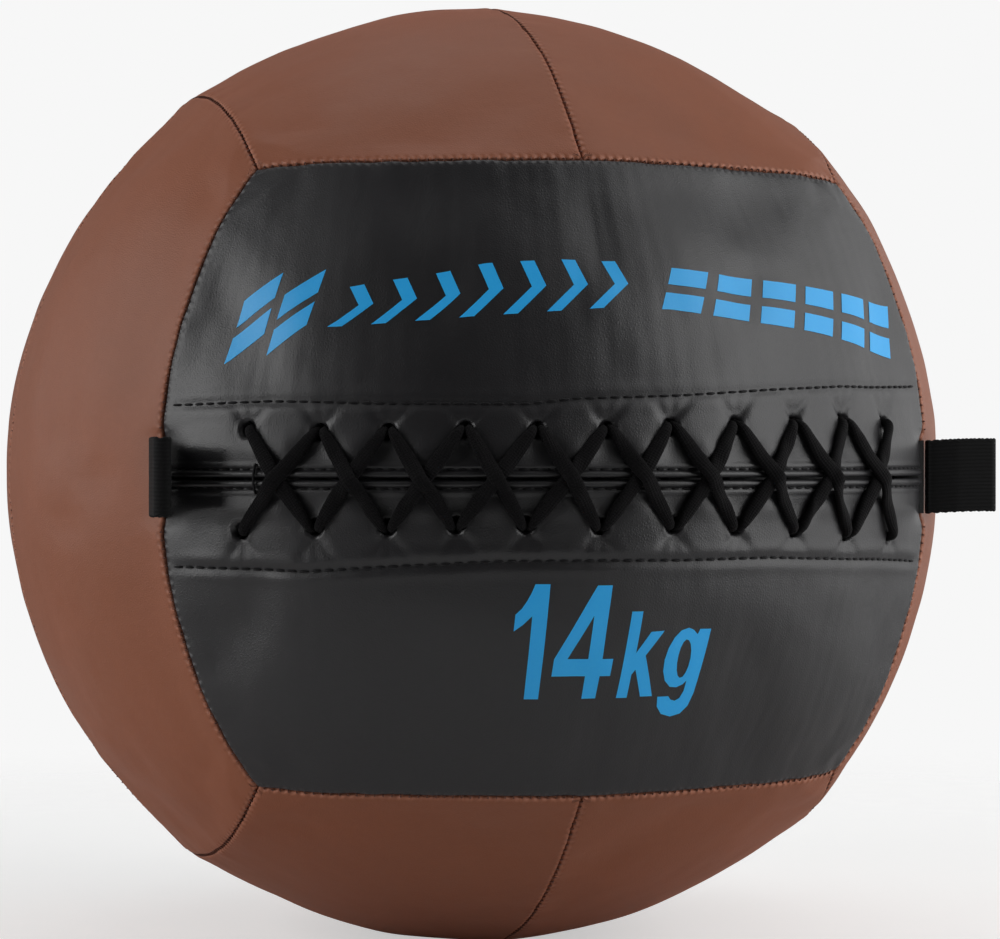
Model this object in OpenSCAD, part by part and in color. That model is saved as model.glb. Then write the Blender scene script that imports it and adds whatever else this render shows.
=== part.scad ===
// Soft medicine ball (wall ball) with a laced filling closure.
// +Z is up, -Y is the laced front, +X is to the right of someone facing the front.
// The origin is the middle of the small flat that the ball's weight presses on the floor.

/* [Ball] */
// Outside diameter of the cover
ball_d = 350; // [340:1:360]
// Width of the flat under the resting ball
rest_d = 74; // [66:1:80]
// Thickness of the coated cover fabric
cover_t = 1.6; // [1.4:0.1:1.8]
// Gap between the turned-in edges of two panels
seam_gap = 1.2; // [1.2:0.1:1.4]
// How deep the turned-in edge of a panel reaches
seam_allowance = 9.5; // [8:0.1:9.5]
// Lean of the seams at a panel pair's ends, about the line through their two corners
seam_tilt = 9; // [8:0.5:10]

/* [Padding and filling] */
// Thickness of the foam pad behind each panel
pad_t = 7.8; // [6:0.1:7.8]
// Thickness of the inner bag's fabric
liner_t = 1; // [0.8:0.1:1.2]
// Width of the inner bag's filling mouth
mouth_d = 90; // [80:1:100]
// Diameter of the weight bag in the middle
weight_bag_d = 162; // [140:1:170]

/* [Laced closure] */
// Eyelets along each edge of the closure
eyelet_count = 11; // [5:2:11]
// Angle between neighbouring eyelets, seen from the ball's centre
eyelet_pitch = 8.25; // [8:0.05:8.3]
// Height of an eyelet above or below the closure line
eyelet_h = 17.5; // [16:0.1:18.5]
// Diameter of a punched eyelet
eyelet_d = 5.2; // [5.2:0.1:5.6]
// Width of each reinforced band, from the closure line to its topstitch
band_w = 28; // [27:0.5:30]
// Width of the lace where it lies flat
lace_w = 5.2; // [4.6:0.1:5.2]
// Thickness of the lace
lace_t = 2.4; // [2.2:0.1:2.4]

/* [Webbing loops] */
// Width of the webbing
webbing_w = 26; // [24:0.5:27]
// Thickness of the webbing
webbing_t = 1.2; // [1:0.1:1.3]
// Free space between the two layers of a loop
loop_gap = 5; // [5:0.1:5.4]
// Length of a loop from its seam to its tip
loop_reach = 26; // [25:0.5:28]
// Turn of the left loop from straight out, towards the front
left_loop_rest = 42.3; // [30:0.1:50]
// Turn of the right loop from straight out, towards the back
right_loop_rest = 37.7; // [20:0.1:50]

/* [Hidden] */

$fn = 96;
ball_r = ball_d / 2;
centre_z = sqrt(ball_r * ball_r - rest_d * rest_d / 4);
// Three outer seams meet at each corner of a cube whose half side is this
seam_c = ball_r / sqrt(3);
// Distance of each outer seam's plane from the centre
seam_d = seam_c * (cos(seam_tilt) - sin(seam_tilt));
// Angle from the middle of a panel pair to its ends, at a height beside its middle seam
function end_angle(h) = acos(seam_d / sqrt(ball_r * ball_r - h * h)) - seam_tilt;
half_span = end_angle(0);
far = ball_r + 20;
fit = 0.1;

// Each panel pair is the front pair turned about the cube's diagonal, after a turn about Z
FRONT = [0, 0];
BACK = [0, 180];
BOTTOM = [120, 0];
TOP = [120, 180];
LEFT = [240, 0];
RIGHT = [240, 180];

// Layers, as distances from the ball's centre
inside_r = ball_r - cover_t;
pad_r = inside_r - 3 * fit;
facing_t = 1.2;
facing_r = inside_r - fit;
facing_margin = 3;
tongue_r = ball_r - 7.3;
tongue_t = 2.3;
tongue_margin = 4;
tongue_short = 14;
flap_r = pad_r - pad_t - 2 * fit;
flap_t = 0.7;
flap_margin = 8;
bag_r = flap_r - flap_t - fit;
packing_r = bag_r - liner_t - 2 * fit;

// The folded lips along the closure
lip_r = 1.2;
lip_gap = 0.8;
lip_sink = 0.2;
lip_h = lip_gap / 2 + lip_r;
lip_span = 2 * (half_span - 2.4);
thread_r = 0.35;
topstitch_end = 2.2;
bow_angle = 1.75;

// The lace
lace_in_hole = 1;
lace_shift = 1.25;
lace_inside_t = 0.7;
lace_low = ball_r + lace_t / 2 + 0.25;
outward_top = ball_r + lip_r - lip_sink + lace_t / 2 + 0.2;
return_top = outward_top + lace_t + 0.2;
outward_inner = facing_r - facing_t - lace_inside_t - 0.4;
return_inner = outward_inner - 2 * lace_inside_t - fit;
knot_r = 1.8;
knot_level = ball_r - 4.8;
lace_sides = 8;
bend_steps = 4;
bend_cut = 1.9;
// Shares of a crossing at which the lace has risen and at which its flat crown starts
rise_share = 0.18;
crown_share = 0.36;

// The loops
tails_l = 10.4;
tails_room = 0.15;
root_r = webbing_t + 0.05;
loop_clear = root_r + fit;
tip_r = loop_gap / 2 + webbing_t;
flare_l = 9;
split_l = 2.6;

// The weight bag
weight_r = weight_bag_d / 2;
canvas_t = 1;
neck_r = 9;
neck_hole_r = 4;
neck_top = weight_r + 20;
neck_room = 3;
tie_r = 1.5;
tie_h = weight_r + 9;
sand_level = weight_r * 0.55;

function eyelet_angle(i) = (i - (eyelet_count - 1) / 2) * eyelet_pitch;
// A point at an angle round Z from the front, a height over the closure line and a distance out
function on_ball(angle, h, r) =
  let (flat = sqrt(r * r - h * h)) [flat * sin(angle), -flat * cos(angle), h];

// Ball of radius r inside the cover, flattened underneath by the same amount as the cover
module ball_core(r) {
  intersection() {
    sphere(r);
    translate([-far, -far, ball_r - r - centre_z]) cube([2 * far, 2 * far, 2 * far]);
  }
}

// Box between two opposite corners
module block(low, high) {
  translate(low) cube(high - low);
}

// The front pair's cell of the twelve that the seams cut the ball into, above (1) or below (-1) its middle seam:
// middle_m from that seam and m from the seams at its ends and its outer side
module front_cell(half, middle_m, m) {
  intersection() {
    block([-far, -far, half > 0 ? middle_m : -far], [far, 0, half > 0 ? far : -middle_m]);
    outside_ends(seam_d + m);
    rotate([-half * seam_tilt, 0, 0])
      block([-far, -far, half > 0 ? -far : m - seam_d], [far, far, half > 0 ? seam_d - m : far]);
  }
}

// What lies outside both end seams' planes, a distance from the centre
module outside_ends(distance) {
  intersection() {
    rotate([0, 0, seam_tilt]) block([-far, -far, -far], [far, -distance, far]);
    rotate([0, 0, -seam_tilt]) block([-far, -far, -far], [far, -distance, far]);
  }
}

module as_pair(pair) {
  rotate(a = pair[0], v = [1, 1, 1]) rotate([0, 0, pair[1]]) children();
}

// A cover panel: a thin shell with its edges turned in at the seams
module panel(pair, half) {
  gap = seam_gap / 2;
  difference() {
    intersection() {
      ball_core(ball_r);
      as_pair(pair) front_cell(half, gap, gap);
    }
    intersection() {
      ball_core(inside_r);
      as_pair(pair) front_cell(half, gap + cover_t, gap + cover_t);
    }
    ball_core(ball_r - seam_allowance);
  }
}

// The foam pad in the tray that a panel makes
module pad(pair, half) {
  edge = seam_gap / 2 + cover_t + 3 * fit;
  difference() {
    intersection() {
      ball_core(pad_r);
      as_pair(pair) front_cell(half, edge, edge);
    }
    ball_core(pad_r - pad_t);
  }
}

// Places something drawn about a seam's plane at the front pair's left (-1) or right (1) end
module at_end_seam(s) {
  rotate([0, 0, -s * seam_tilt]) translate([0, -seam_d, 0]) children();
}

// Space that the loop's sewn-in tails need in the seam, on the left (-1) or right (1)
module tails_space(s) {
  w = webbing_t + tails_room;
  h = webbing_w / 2 + 2 * tails_room;
  middle = s * sqrt(ball_r * ball_r - seam_d * seam_d);
  at_end_seam(s) block([middle - tails_l - 3, -w, -h], [middle + tails_l + 3, w, h]);
}

module eyelets(up) {
  for (i = [0:eyelet_count - 1])
    rotate([90 - up * asin(eyelet_h / ball_r), 0, eyelet_angle(i)])
      translate([0, 0, ball_r - 10]) cylinder(d = eyelet_d, h = 20);
}

// Arc round Z through the front, of a round section
module front_arc(span, r, h, section_r) {
  translate([0, 0, h]) rotate([0, 0, -90 - span / 2])
    rotate_extrude(angle = span) translate([r, 0]) circle(section_r, $fn = 24);
}

// A front panel runs flat to the closure and ends there in a folded lip
module front_panel(up) {
  gap = seam_gap / 2;
  difference() {
    union() {
      intersection() {
        ball_core(ball_r);
        front_cell(up, lip_gap / 2, gap);
      }
      front_arc(lip_span, ball_r - lip_sink, up * lip_h, lip_r);
    }
    intersection() {
      ball_core(inside_r);
      front_cell(up, gap - cover_t, gap + cover_t);
    }
    ball_core(ball_r - seam_allowance);
    eyelets(up);
    tails_space(-1);
    tails_space(1);
  }
}

module front_upper_panel() color("#2b2b2e") front_panel(1);
module front_lower_panel() color("#2b2b2e") front_panel(-1);
module back_upper_panel() color("#2b2b2e") panel(BACK, 1);
module back_lower_panel() color("#2b2b2e") panel(BACK, -1);
module top_left_panel() color("#7a5842") panel(TOP, -1);
module top_right_panel() color("#7a5842") panel(TOP, 1);
module bottom_left_panel() color("#7a5842") panel(BOTTOM, -1);
module bottom_right_panel() color("#7a5842") panel(BOTTOM, 1);
module left_back_panel() color("#7a5842") panel(LEFT, 1);
module right_back_panel() color("#7a5842") panel(RIGHT, 1);

module left_front_panel() color("#7a5842") difference() {
  panel(LEFT, -1);
  tails_space(-1);
}

module right_front_panel() color("#7a5842") difference() {
  panel(RIGHT, -1);
  tails_space(1);
}

// Strip that stiffens a closure edge from behind
module facing(up) {
  outer_h = band_w + facing_margin;
  difference() {
    intersection() {
      ball_core(facing_r);
      front_cell(up, lip_gap / 2 + cover_t + fit, seam_gap / 2 + cover_t + fit);
      block([-far, -far, -outer_h], [far, far, outer_h]);
    }
    ball_core(facing_r - facing_t);
    eyelets(up);
  }
}

module upper_facing() color("#3a3a3c") facing(1);
module lower_facing() color("#3a3a3c") facing(-1);

// Padded strip behind the laces
module closure_tongue() color("#1c1c1e") difference() {
  intersection() {
    ball_core(tongue_r);
    block([-far, -far, -band_w - tongue_margin], [far, -seam_c - tongue_short, band_w + tongue_margin]);
  }
  ball_core(tongue_r - tongue_t);
}

// Lace stations hold x, y, z, half width and half thickness
function station(angle, h, r, w, t) = concat(on_ball(angle, h, r), [w, t]);
// Two strands share an eyelet side by side
function shift_angle(s) = s * atan(lace_shift / ball_r);

// Out of one eyelet, across the closure over a flat crown, and into the next
function strand(i, from_h, top, inner) =
  let (
    a = eyelet_angle(i) + shift_angle(1),
    b = eyelet_angle(i + 1) - shift_angle(1),
    w = lace_w / 2,
    t = lace_t / 2,
    near = lace_in_hole,
    shoulder = lace_low + 0.3 * (top - lace_low))
  [
    station(a, from_h, inner, near, lace_inside_t),
    station(a, from_h, ball_r - 1, near, t - fit),
    station(a, from_h, lace_low, near, t),
    station(a + rise_share * (b - a), from_h * (1 - 2 * rise_share), shoulder, w, t),
    station(a + crown_share * (b - a), from_h * (1 - 2 * crown_share), top, w, t),
    station(b - crown_share * (b - a), -from_h * (1 - 2 * crown_share), top, w, t),
    station(b - rise_share * (b - a), -from_h * (1 - 2 * rise_share), shoulder, w, t),
    station(b, -from_h, lace_low, near, t),
    station(b, -from_h, ball_r - 1, near, t - fit),
    station(b, -from_h, inner, near, lace_inside_t)];

function run(from_h, top, inner) = concat(
  [station(eyelet_angle(0), sign(from_h) * 2, knot_level, lace_in_hole, lace_inside_t)],
  [for (i = [0:eyelet_count - 2]) for (p = strand(i, from_h, top, inner)) p],
  [station(eyelet_angle(eyelet_count - 1), -sign(from_h) * 2, knot_level, lace_in_hole, lace_inside_t)]);

// Each corner of the path becomes a short curve
function rounded(path) = let (last = len(path) - 1) concat(
  [path[0]],
  [for (k = [1:last - 1])
    let (
      before = path[k - 1] - path[k],
      after = path[k + 1] - path[k],
      p = path[k] + before * min(0.45, bend_cut / norm(before)),
      q = path[k] + after * min(0.45, bend_cut / norm(after)))
    for (s = [0:bend_steps])
      let (u = s / bend_steps)
      (1 - u) * (1 - u) * p + 2 * u * (1 - u) * path[k] + u * u * q],
  [path[last]]);

function xyz(v) = [v[0], v[1], v[2]];
function unit(v) = v / norm(v);

// A flat cord swept along stations, its width square to its run and level with the cover
module cord(stations) {
  n = len(stations);
  places = [for (s = stations) xyz(s)];
  rings = [
    for (k = [0:n - 1])
      let (
        run_dir = unit(places[min(k + 1, n - 1)] - places[max(k - 1, 0)]),
        level = unit([-places[k][1], places[k][0], 0]),
        side = unit(level - (level * run_dir) * run_dir),
        out = cross(side, run_dir))
      for (j = [0:lace_sides - 1])
        let (a = 360 * (j + 0.5) / lace_sides)
        places[k] + stations[k][3] * cos(a) * side + stations[k][4] * sin(a) * out];
  walls = [
    for (k = [0:n - 2])
      for (j = [0:lace_sides - 1])
        let (m = (j + 1) % lace_sides, p = k * lace_sides, q = p + lace_sides)
        [p + m, p + j, q + j, q + m]];
  start = [for (j = [0:lace_sides - 1]) j];
  end = [for (j = [lace_sides - 1:-1:0]) (n - 1) * lace_sides + j];
  polyhedron(concat(rings), concat([end], walls, [start]));
}

// The lace rises to the right in its first run and comes back over itself in its second
module lace_outward_run() color("#18161a") cord(rounded(run(-eyelet_h, outward_top, outward_inner)));
module lace_return_run() color("#18161a") cord(rounded(run(eyelet_h, return_top, return_inner)));

module lace_knots() color("#18161a")
  for (i = [0, eyelet_count - 1])
    translate(on_ball(eyelet_angle(i), 0, knot_level)) sphere(knot_r, $fn = 32);

module band_stitches(up) {
  h = up * band_w;
  span = 2 * (end_angle(h) - topstitch_end);
  front_arc(span, sqrt(pow(ball_r + thread_r, 2) - h * h), h, thread_r);
}

module upper_topstitch() color("#0e0e10") band_stitches(1);
module lower_topstitch() color("#0e0e10") band_stitches(-1);

module lip_stitching() color("#0e0e10")
  for (up = [-1, 1])
    front_arc(lip_span, ball_r + thread_r, up * (lip_h + lip_r + thread_r), thread_r);

// Bow of hand-sewn thread that holds the lips together beside the first crossing
module closing_thread() color("#0e0e10") {
  bow_r = 8;
  bow_sink = 6;
  bow_thread_r = 0.45;
  bow_half = 37.5;
  rotate([90, 0, eyelet_angle(0) + bow_angle]) translate([0, 0, ball_r - bow_sink]) rotate([0, 90, 0])
    thread_arc(180 - bow_half, 180 + bow_half, bow_r, bow_thread_r);
}

// Lock-stitch threads that show between the panels, on all seams but the laced one
module seam_threads() color("#2a1c16") {
  r = ball_r - 0.65;
  section = seam_gap / 2 - fit;
  short = 2;
  // The seam under the ball stops at each side of the flat
  flat_half = asin(rest_d / 2 / ball_r) + 1;
  reach = half_span - short;
  end_r = sqrt(r * r - seam_d * seam_d);
  end_reach = asin(seam_c / sqrt(ball_r * ball_r - seam_d * seam_d)) - short;
  difference() {
    for (turn = [0, 120, 240]) as_pair([turn, 0]) {
      for (back = [0, 180], s = [-1, 1])
        rotate([0, 0, back]) at_end_seam(s) rotate([90, 0, 0])
          thread_arc((s > 0 ? 0 : 180) - end_reach, (s > 0 ? 0 : 180) + end_reach, end_r, section);
      thread_arc(90 - reach, 90 + reach, r, section);
      if (turn == 120) {
        thread_arc(-90 - reach, -90 - flat_half, r, section);
        thread_arc(-90 + flat_half, -90 + reach, r, section);
      }
      if (turn == 240) thread_arc(-90 - reach, -90 + reach, r, section);
    }
    tails_space(-1);
    tails_space(1);
  }
}

module thread_arc(from, to, r, section) {
  rotate([0, 0, from]) rotate_extrude(angle = to - from) translate([r, 0]) circle(section, $fn = 24);
}

// Folded webbing: its two layers bend about a rounded root beside the seam, and open to leave the loop's eye
module loop() {
  tip_x = loop_reach - tip_r;
  eye_r = loop_gap / 2;
  translate([0, 0, -webbing_w / 2]) linear_extrude(webbing_w) difference() {
    union() {
      circle(root_r);
      polygon([[0, -root_r], [flare_l, -tip_r], [tip_x, -tip_r],
        [tip_x, tip_r], [flare_l, tip_r], [0, root_r]]);
      translate([tip_x, 0]) circle(tip_r);
    }
    polygon([[split_l, 0], [flare_l, -eye_r], [tip_x, -eye_r], [tip_x, eye_r], [flare_l, eye_r]]);
    translate([tip_x, 0]) circle(eye_r);
  }
}

// A loop stands on the end of the closure, turned about the seam that holds it
module placed_loop(s, turn) {
  rotate([0, 0, s > 0 ? half_span - 90 : -half_span - 90])
    translate([ball_r + loop_clear, 0, 0]) rotate([0, 0, turn]) loop();
}

module left_loop() color("#151517") placed_loop(-1, left_loop_rest);
module right_loop() color("#151517") placed_loop(1, right_loop_rest);

// Sewn-in ends of a loop's webbing, inside the seam
module tails(s) {
  end_x = sqrt(pow(ball_r - 3 * fit, 2) - seam_d * seam_d - webbing_w * webbing_w / 4);
  near = min(s * end_x, s * (end_x - tails_l));
  at_end_seam(s) block([near, -webbing_t, -webbing_w / 2], [near + tails_l, webbing_t, webbing_w / 2]);
}

module left_loop_tails() color("#151517") tails(-1);
module right_loop_tails() color("#151517") tails(1);

// The front pads stop beside the tongue, so that the closure stays supple
module front_pad(up) {
  edge = band_w + 4.5;
  difference() {
    pad(FRONT, up);
    block([-far, -far, -edge], [far, far, edge]);
  }
}

module front_upper_pad() color("#c9c4ba") front_pad(1);
module front_lower_pad() color("#c9c4ba") front_pad(-1);
module back_upper_pad() color("#c9c4ba") pad(BACK, 1);
module back_lower_pad() color("#c9c4ba") pad(BACK, -1);
module top_left_pad() color("#c9c4ba") pad(TOP, -1);
module top_right_pad() color("#c9c4ba") pad(TOP, 1);
module bottom_left_pad() color("#c9c4ba") pad(BOTTOM, -1);
module bottom_right_pad() color("#c9c4ba") pad(BOTTOM, 1);
module left_front_pad() color("#c9c4ba") pad(LEFT, -1);
module left_back_pad() color("#c9c4ba") pad(LEFT, 1);
module right_front_pad() color("#c9c4ba") pad(RIGHT, -1);
module right_back_pad() color("#c9c4ba") pad(RIGHT, 1);

// Space in front of the inner bag, round the axis of its filling mouth
module mouth_space(d) {
  rotate([90, 0, 0]) cylinder(d = d, h = far);
}

module inner_bag() color("#8b8f86") difference() {
  ball_core(bag_r);
  ball_core(bag_r - liner_t);
  mouth_space(mouth_d);
}

// Flap sewn over the mouth once the bag is full
module mouth_flap() color("#767a72") intersection() {
  difference() {
    ball_core(flap_r);
    ball_core(flap_r - flap_t);
  }
  mouth_space(mouth_d + 2 * flap_margin);
}

// Packed textile offcuts, below and above the weight bag
module packing(up) {
  difference() {
    intersection() {
      ball_core(packing_r);
      block([-far, -far, up > 0 ? 0 : -far], [far, far, up > 0 ? far : 0]);
    }
    sphere(weight_r + 3 * fit);
    if (up > 0) cylinder(r = neck_r + 2 * tie_r + neck_room, h = neck_top + neck_room);
  }
}

module lower_packing() color("#9a938c") packing(-1);
module upper_packing() color("#a39c94") packing(1);

// Canvas bag with a gathered neck
module weight_bag() color("#4d4a3f") difference() {
  union() {
    sphere(weight_r);
    cylinder(r = neck_r, h = neck_top);
  }
  sphere(weight_r - canvas_t);
  cylinder(r = neck_hole_r, h = neck_top + 1);
}

module weight_bag_tie() color("#d8d2c0")
  translate([0, 0, tie_h]) rotate_extrude() translate([neck_r + tie_r + fit, 0])
    circle(tie_r, $fn = 24);

// Iron sand, settled level in its bag
module iron_sand() color("#55524f") intersection() {
  sphere(weight_r - canvas_t - fit);
  block([-far, -far, -far], [far, far, sand_level]);
}

// Everything is drawn round the ball's centre and lifted to stand on the floor
module standing() {
  translate([0, 0, centre_z]) children();
}

standing() front_upper_panel();
standing() front_lower_panel();
standing() back_upper_panel();
standing() back_lower_panel();
standing() top_left_panel();
standing() top_right_panel();
standing() bottom_left_panel();
standing() bottom_right_panel();
standing() left_front_panel();
standing() left_back_panel();
standing() right_front_panel();
standing() right_back_panel();
standing() upper_facing();
standing() lower_facing();
standing() closure_tongue();
standing() lace_outward_run();
standing() lace_return_run();
standing() lace_knots();
standing() upper_topstitch();
standing() lower_topstitch();
standing() lip_stitching();
standing() closing_thread();
standing() seam_threads();
standing() left_loop();
standing() right_loop();
standing() left_loop_tails();
standing() right_loop_tails();
standing() front_upper_pad();
standing() front_lower_pad();
standing() back_upper_pad();
standing() back_lower_pad();
standing() top_left_pad();
standing() top_right_pad();
standing() bottom_left_pad();
standing() bottom_right_pad();
standing() left_front_pad();
standing() left_back_pad();
standing() right_front_pad();
standing() right_back_pad();
standing() inner_bag();
standing() mouth_flap();
standing() lower_packing();
standing() upper_packing();
standing() weight_bag();
standing() weight_bag_tie();
standing() iron_sand();
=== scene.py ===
import math
import bmesh
import bpy
import numpy as np
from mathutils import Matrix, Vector


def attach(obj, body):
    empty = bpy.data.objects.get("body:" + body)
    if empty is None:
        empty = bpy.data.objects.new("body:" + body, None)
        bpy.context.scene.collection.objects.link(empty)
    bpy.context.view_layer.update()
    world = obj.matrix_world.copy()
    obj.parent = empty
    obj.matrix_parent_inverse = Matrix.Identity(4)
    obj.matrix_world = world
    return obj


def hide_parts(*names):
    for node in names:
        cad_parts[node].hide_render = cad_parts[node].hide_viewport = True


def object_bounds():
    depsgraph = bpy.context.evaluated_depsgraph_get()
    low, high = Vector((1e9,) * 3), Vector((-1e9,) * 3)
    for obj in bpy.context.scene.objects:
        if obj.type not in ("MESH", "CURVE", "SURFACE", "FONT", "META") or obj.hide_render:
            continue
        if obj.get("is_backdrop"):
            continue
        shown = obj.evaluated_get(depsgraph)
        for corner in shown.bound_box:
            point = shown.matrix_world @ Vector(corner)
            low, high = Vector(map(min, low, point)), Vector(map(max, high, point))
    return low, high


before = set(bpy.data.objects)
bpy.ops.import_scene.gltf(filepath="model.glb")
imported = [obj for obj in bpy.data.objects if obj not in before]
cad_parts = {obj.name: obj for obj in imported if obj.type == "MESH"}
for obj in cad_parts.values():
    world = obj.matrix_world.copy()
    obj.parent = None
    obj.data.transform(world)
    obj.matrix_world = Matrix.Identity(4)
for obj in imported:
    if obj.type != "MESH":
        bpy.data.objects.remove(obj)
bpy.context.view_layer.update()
scene = bpy.context.scene

# The ball's own sizes, in mm round its centre; a mesh goes to metres when it is made
ball = {
    "radius": 175.0,
    "restWidth": 74.0,
    "cornerBump": 5.6,        # how far the eight cube corners stand out
    "cornerSpread": 15.0,     # degrees over which a corner fades
    "seamRidge": 1.1,         # the seams stand a little above the panels
    "panelDip": 1.8,          # how far the middle of a panel sinks
    "drawnIn": 2.1,           # how far the webbing loops' stitching draws the cover in
    "floorBlend": 0.8,
    "seamTilt": 9.0,          # degrees that each pair's end seams lean about the line through their corners
}
radius = ball["radius"]
centreZ = math.sqrt(radius ** 2 - ball["restWidth"] ** 2 / 4)
seamC = radius / math.sqrt(3)             # half side of the cube whose corners the seams meet at
tilt = math.radians(ball["seamTilt"])
seamD = seamC * (math.cos(tilt) - math.sin(tilt))     # distance of every outer seam's plane from the centre
cornerLat = math.asin(seamC / radius)
panelArc = radius * cornerLat             # width of a panel at its ends, along the surface
halfSpan = math.acos(seamD / radius) - tilt           # angle from a pair's middle to its far ends
rng = np.random.default_rng(14)

# Each pair of panels: its outward direction, and the direction that its two halves divide
pairs = {
    "front": ((0, -1, 0), (0, 0, 1), ("front_lower", "front_upper")),
    "back": ((0, 1, 0), (0, 0, 1), ("back_lower", "back_upper")),
    "top": ((0, 0, 1), (1, 0, 0), ("top_left", "top_right")),
    "bottom": ((0, 0, -1), (1, 0, 0), ("bottom_left", "bottom_right")),
    "left": ((-1, 0, 0), (0, 1, 0), ("left_front", "left_back")),
    "right": ((1, 0, 0), (0, 1, 0), ("right_front", "right_back")),
}


# Puts points (mm from the ball's centre) and faces into a new mesh object in metres, smooth shaded
def makePiece(name, points, faces, material, uv=None):
    points = np.asarray(points, float).reshape(-1, 3)
    mesh = bpy.data.meshes.new(name)
    where = (points + (0, 0, centreZ)) * 0.001
    faces = np.asarray(faces, np.int32)
    sides = faces.shape[1]
    mesh.vertices.add(len(where))
    mesh.vertices.foreach_set("co", where.astype(np.float32).ravel())
    mesh.loops.add(faces.size)
    mesh.loops.foreach_set("vertex_index", faces.ravel())
    mesh.polygons.add(len(faces))
    mesh.polygons.foreach_set("loop_start", np.arange(0, faces.size, sides, dtype=np.int32))
    mesh.polygons.foreach_set("use_smooth", np.ones(len(faces), bool))
    if uv is not None:
        layer = mesh.uv_layers.new(name="lay")
        layer.data.foreach_set("uv", np.asarray(uv, np.float32)[faces.ravel()].ravel())
    mesh.update(calc_edges=True)
    mesh.validate()
    piece = bpy.data.objects.new(name, mesh)
    scene.collection.objects.link(piece)
    mesh.materials.append(material)
    return piece


# Quads of a grid of rows by columns of points; wrap joins its last column to its first
def gridFaces(rows, columns, wrap=False):
    r, c = np.meshgrid(np.arange(rows - 1), np.arange(columns if wrap else columns - 1), indexing="ij")
    n = (c + 1) % columns
    quads = [r * columns + c, r * columns + n, (r + 1) * columns + n, (r + 1) * columns + c]
    return np.stack(quads, -1).reshape(-1, 4)


# Vectors brought to length 1
def unit(vectors):
    return vectors / np.linalg.norm(vectors, axis=-1, keepdims=True)


# A share from 0 to 1 eased at both ends: three times its square less twice its cube
def eased(t):
    return t * t * (3 - 2 * t)


# A grid's values at rows and columns with fractions: the four points around each, blended by the fractions
def gridAt(grid, row, column):
    i = np.clip(np.floor(row).astype(int), 0, grid.shape[0] - 2)
    j = np.clip(np.floor(column).astype(int), 0, grid.shape[1] - 2)
    s, t = (row - i)[..., None], (column - j)[..., None]
    return (grid[i, j] * (1 - s) * (1 - t) + grid[i + 1, j] * s * (1 - t)
            + grid[i, j + 1] * (1 - s) * t + grid[i + 1, j + 1] * s * t)


# Smooth noise from -1 to 1 at x, y: random heights on a unit lattice, blended between
def softNoise(x, y, seed):
    heights = np.random.default_rng(seed).uniform(-1, 1, (64, 64))
    i, j = np.floor(x).astype(int), np.floor(y).astype(int)
    u, v = eased(x - i), eased(y - j)
    i0, i1, j0, j1 = i % 64, (i + 1) % 64, j % 64, (j + 1) % 64
    low = heights[i0, j0] * (1 - u) + heights[i1, j0] * u
    high = heights[i0, j1] * (1 - u) + heights[i1, j1] * u
    return low * (1 - v) + high * v


# Rides a piece on its body and hides the CAD nodes that it stands for
def seat(piece, body, slot, *nodes):
    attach(piece, body)
    if nodes:
        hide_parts(*nodes)


# ---- materials ----

# A hex colour as linear red, green, blue, alpha
def linear(code):
    parts = [int(code[k:k + 2], 16) / 255 for k in (1, 3, 5)]
    return [p / 12.92 if p <= 0.04045 else ((p + 0.055) / 1.055) ** 2.4 for p in parts] + [1.0]


# Fills a node's inputs, by name or number: a socket is linked, a node is linked by its first output in use,
# and anything else is a fixed value
def feed(node, values):
    for name, value in values.items():
        if isinstance(value, bpy.types.Node):
            value = next(out for out in value.outputs if out.enabled)
        if isinstance(value, bpy.types.NodeSocket):
            node.id_data.links.new(value, node.inputs[name])
        else:
            node.inputs[name].default_value = value
    return node


# Adds one node: settings are its attributes, values its inputs
def addNode(tree, kind, values=None, **settings):
    node = tree.nodes.new("ShaderNode" + kind)
    for name, value in settings.items():
        setattr(node, name, value)
    return feed(node, values or {})


# A new material with its Principled shader, whose fixed values are given
def newMaterial(name, values):
    material = bpy.data.materials.new(name)
    material.use_nodes = True
    tree = material.node_tree
    return material, tree, feed(tree.nodes["Principled BSDF"], values)


# Repeats in a metre of the leathercloth's patterns, and its gathers in mm
leather = {
    "cloud": 14.0, "ripple": 95.0, "fleck": 420.0, "grain": 1100.0, "gatherPitch": 3.1, "gatherReach": 2.8,
}


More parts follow.
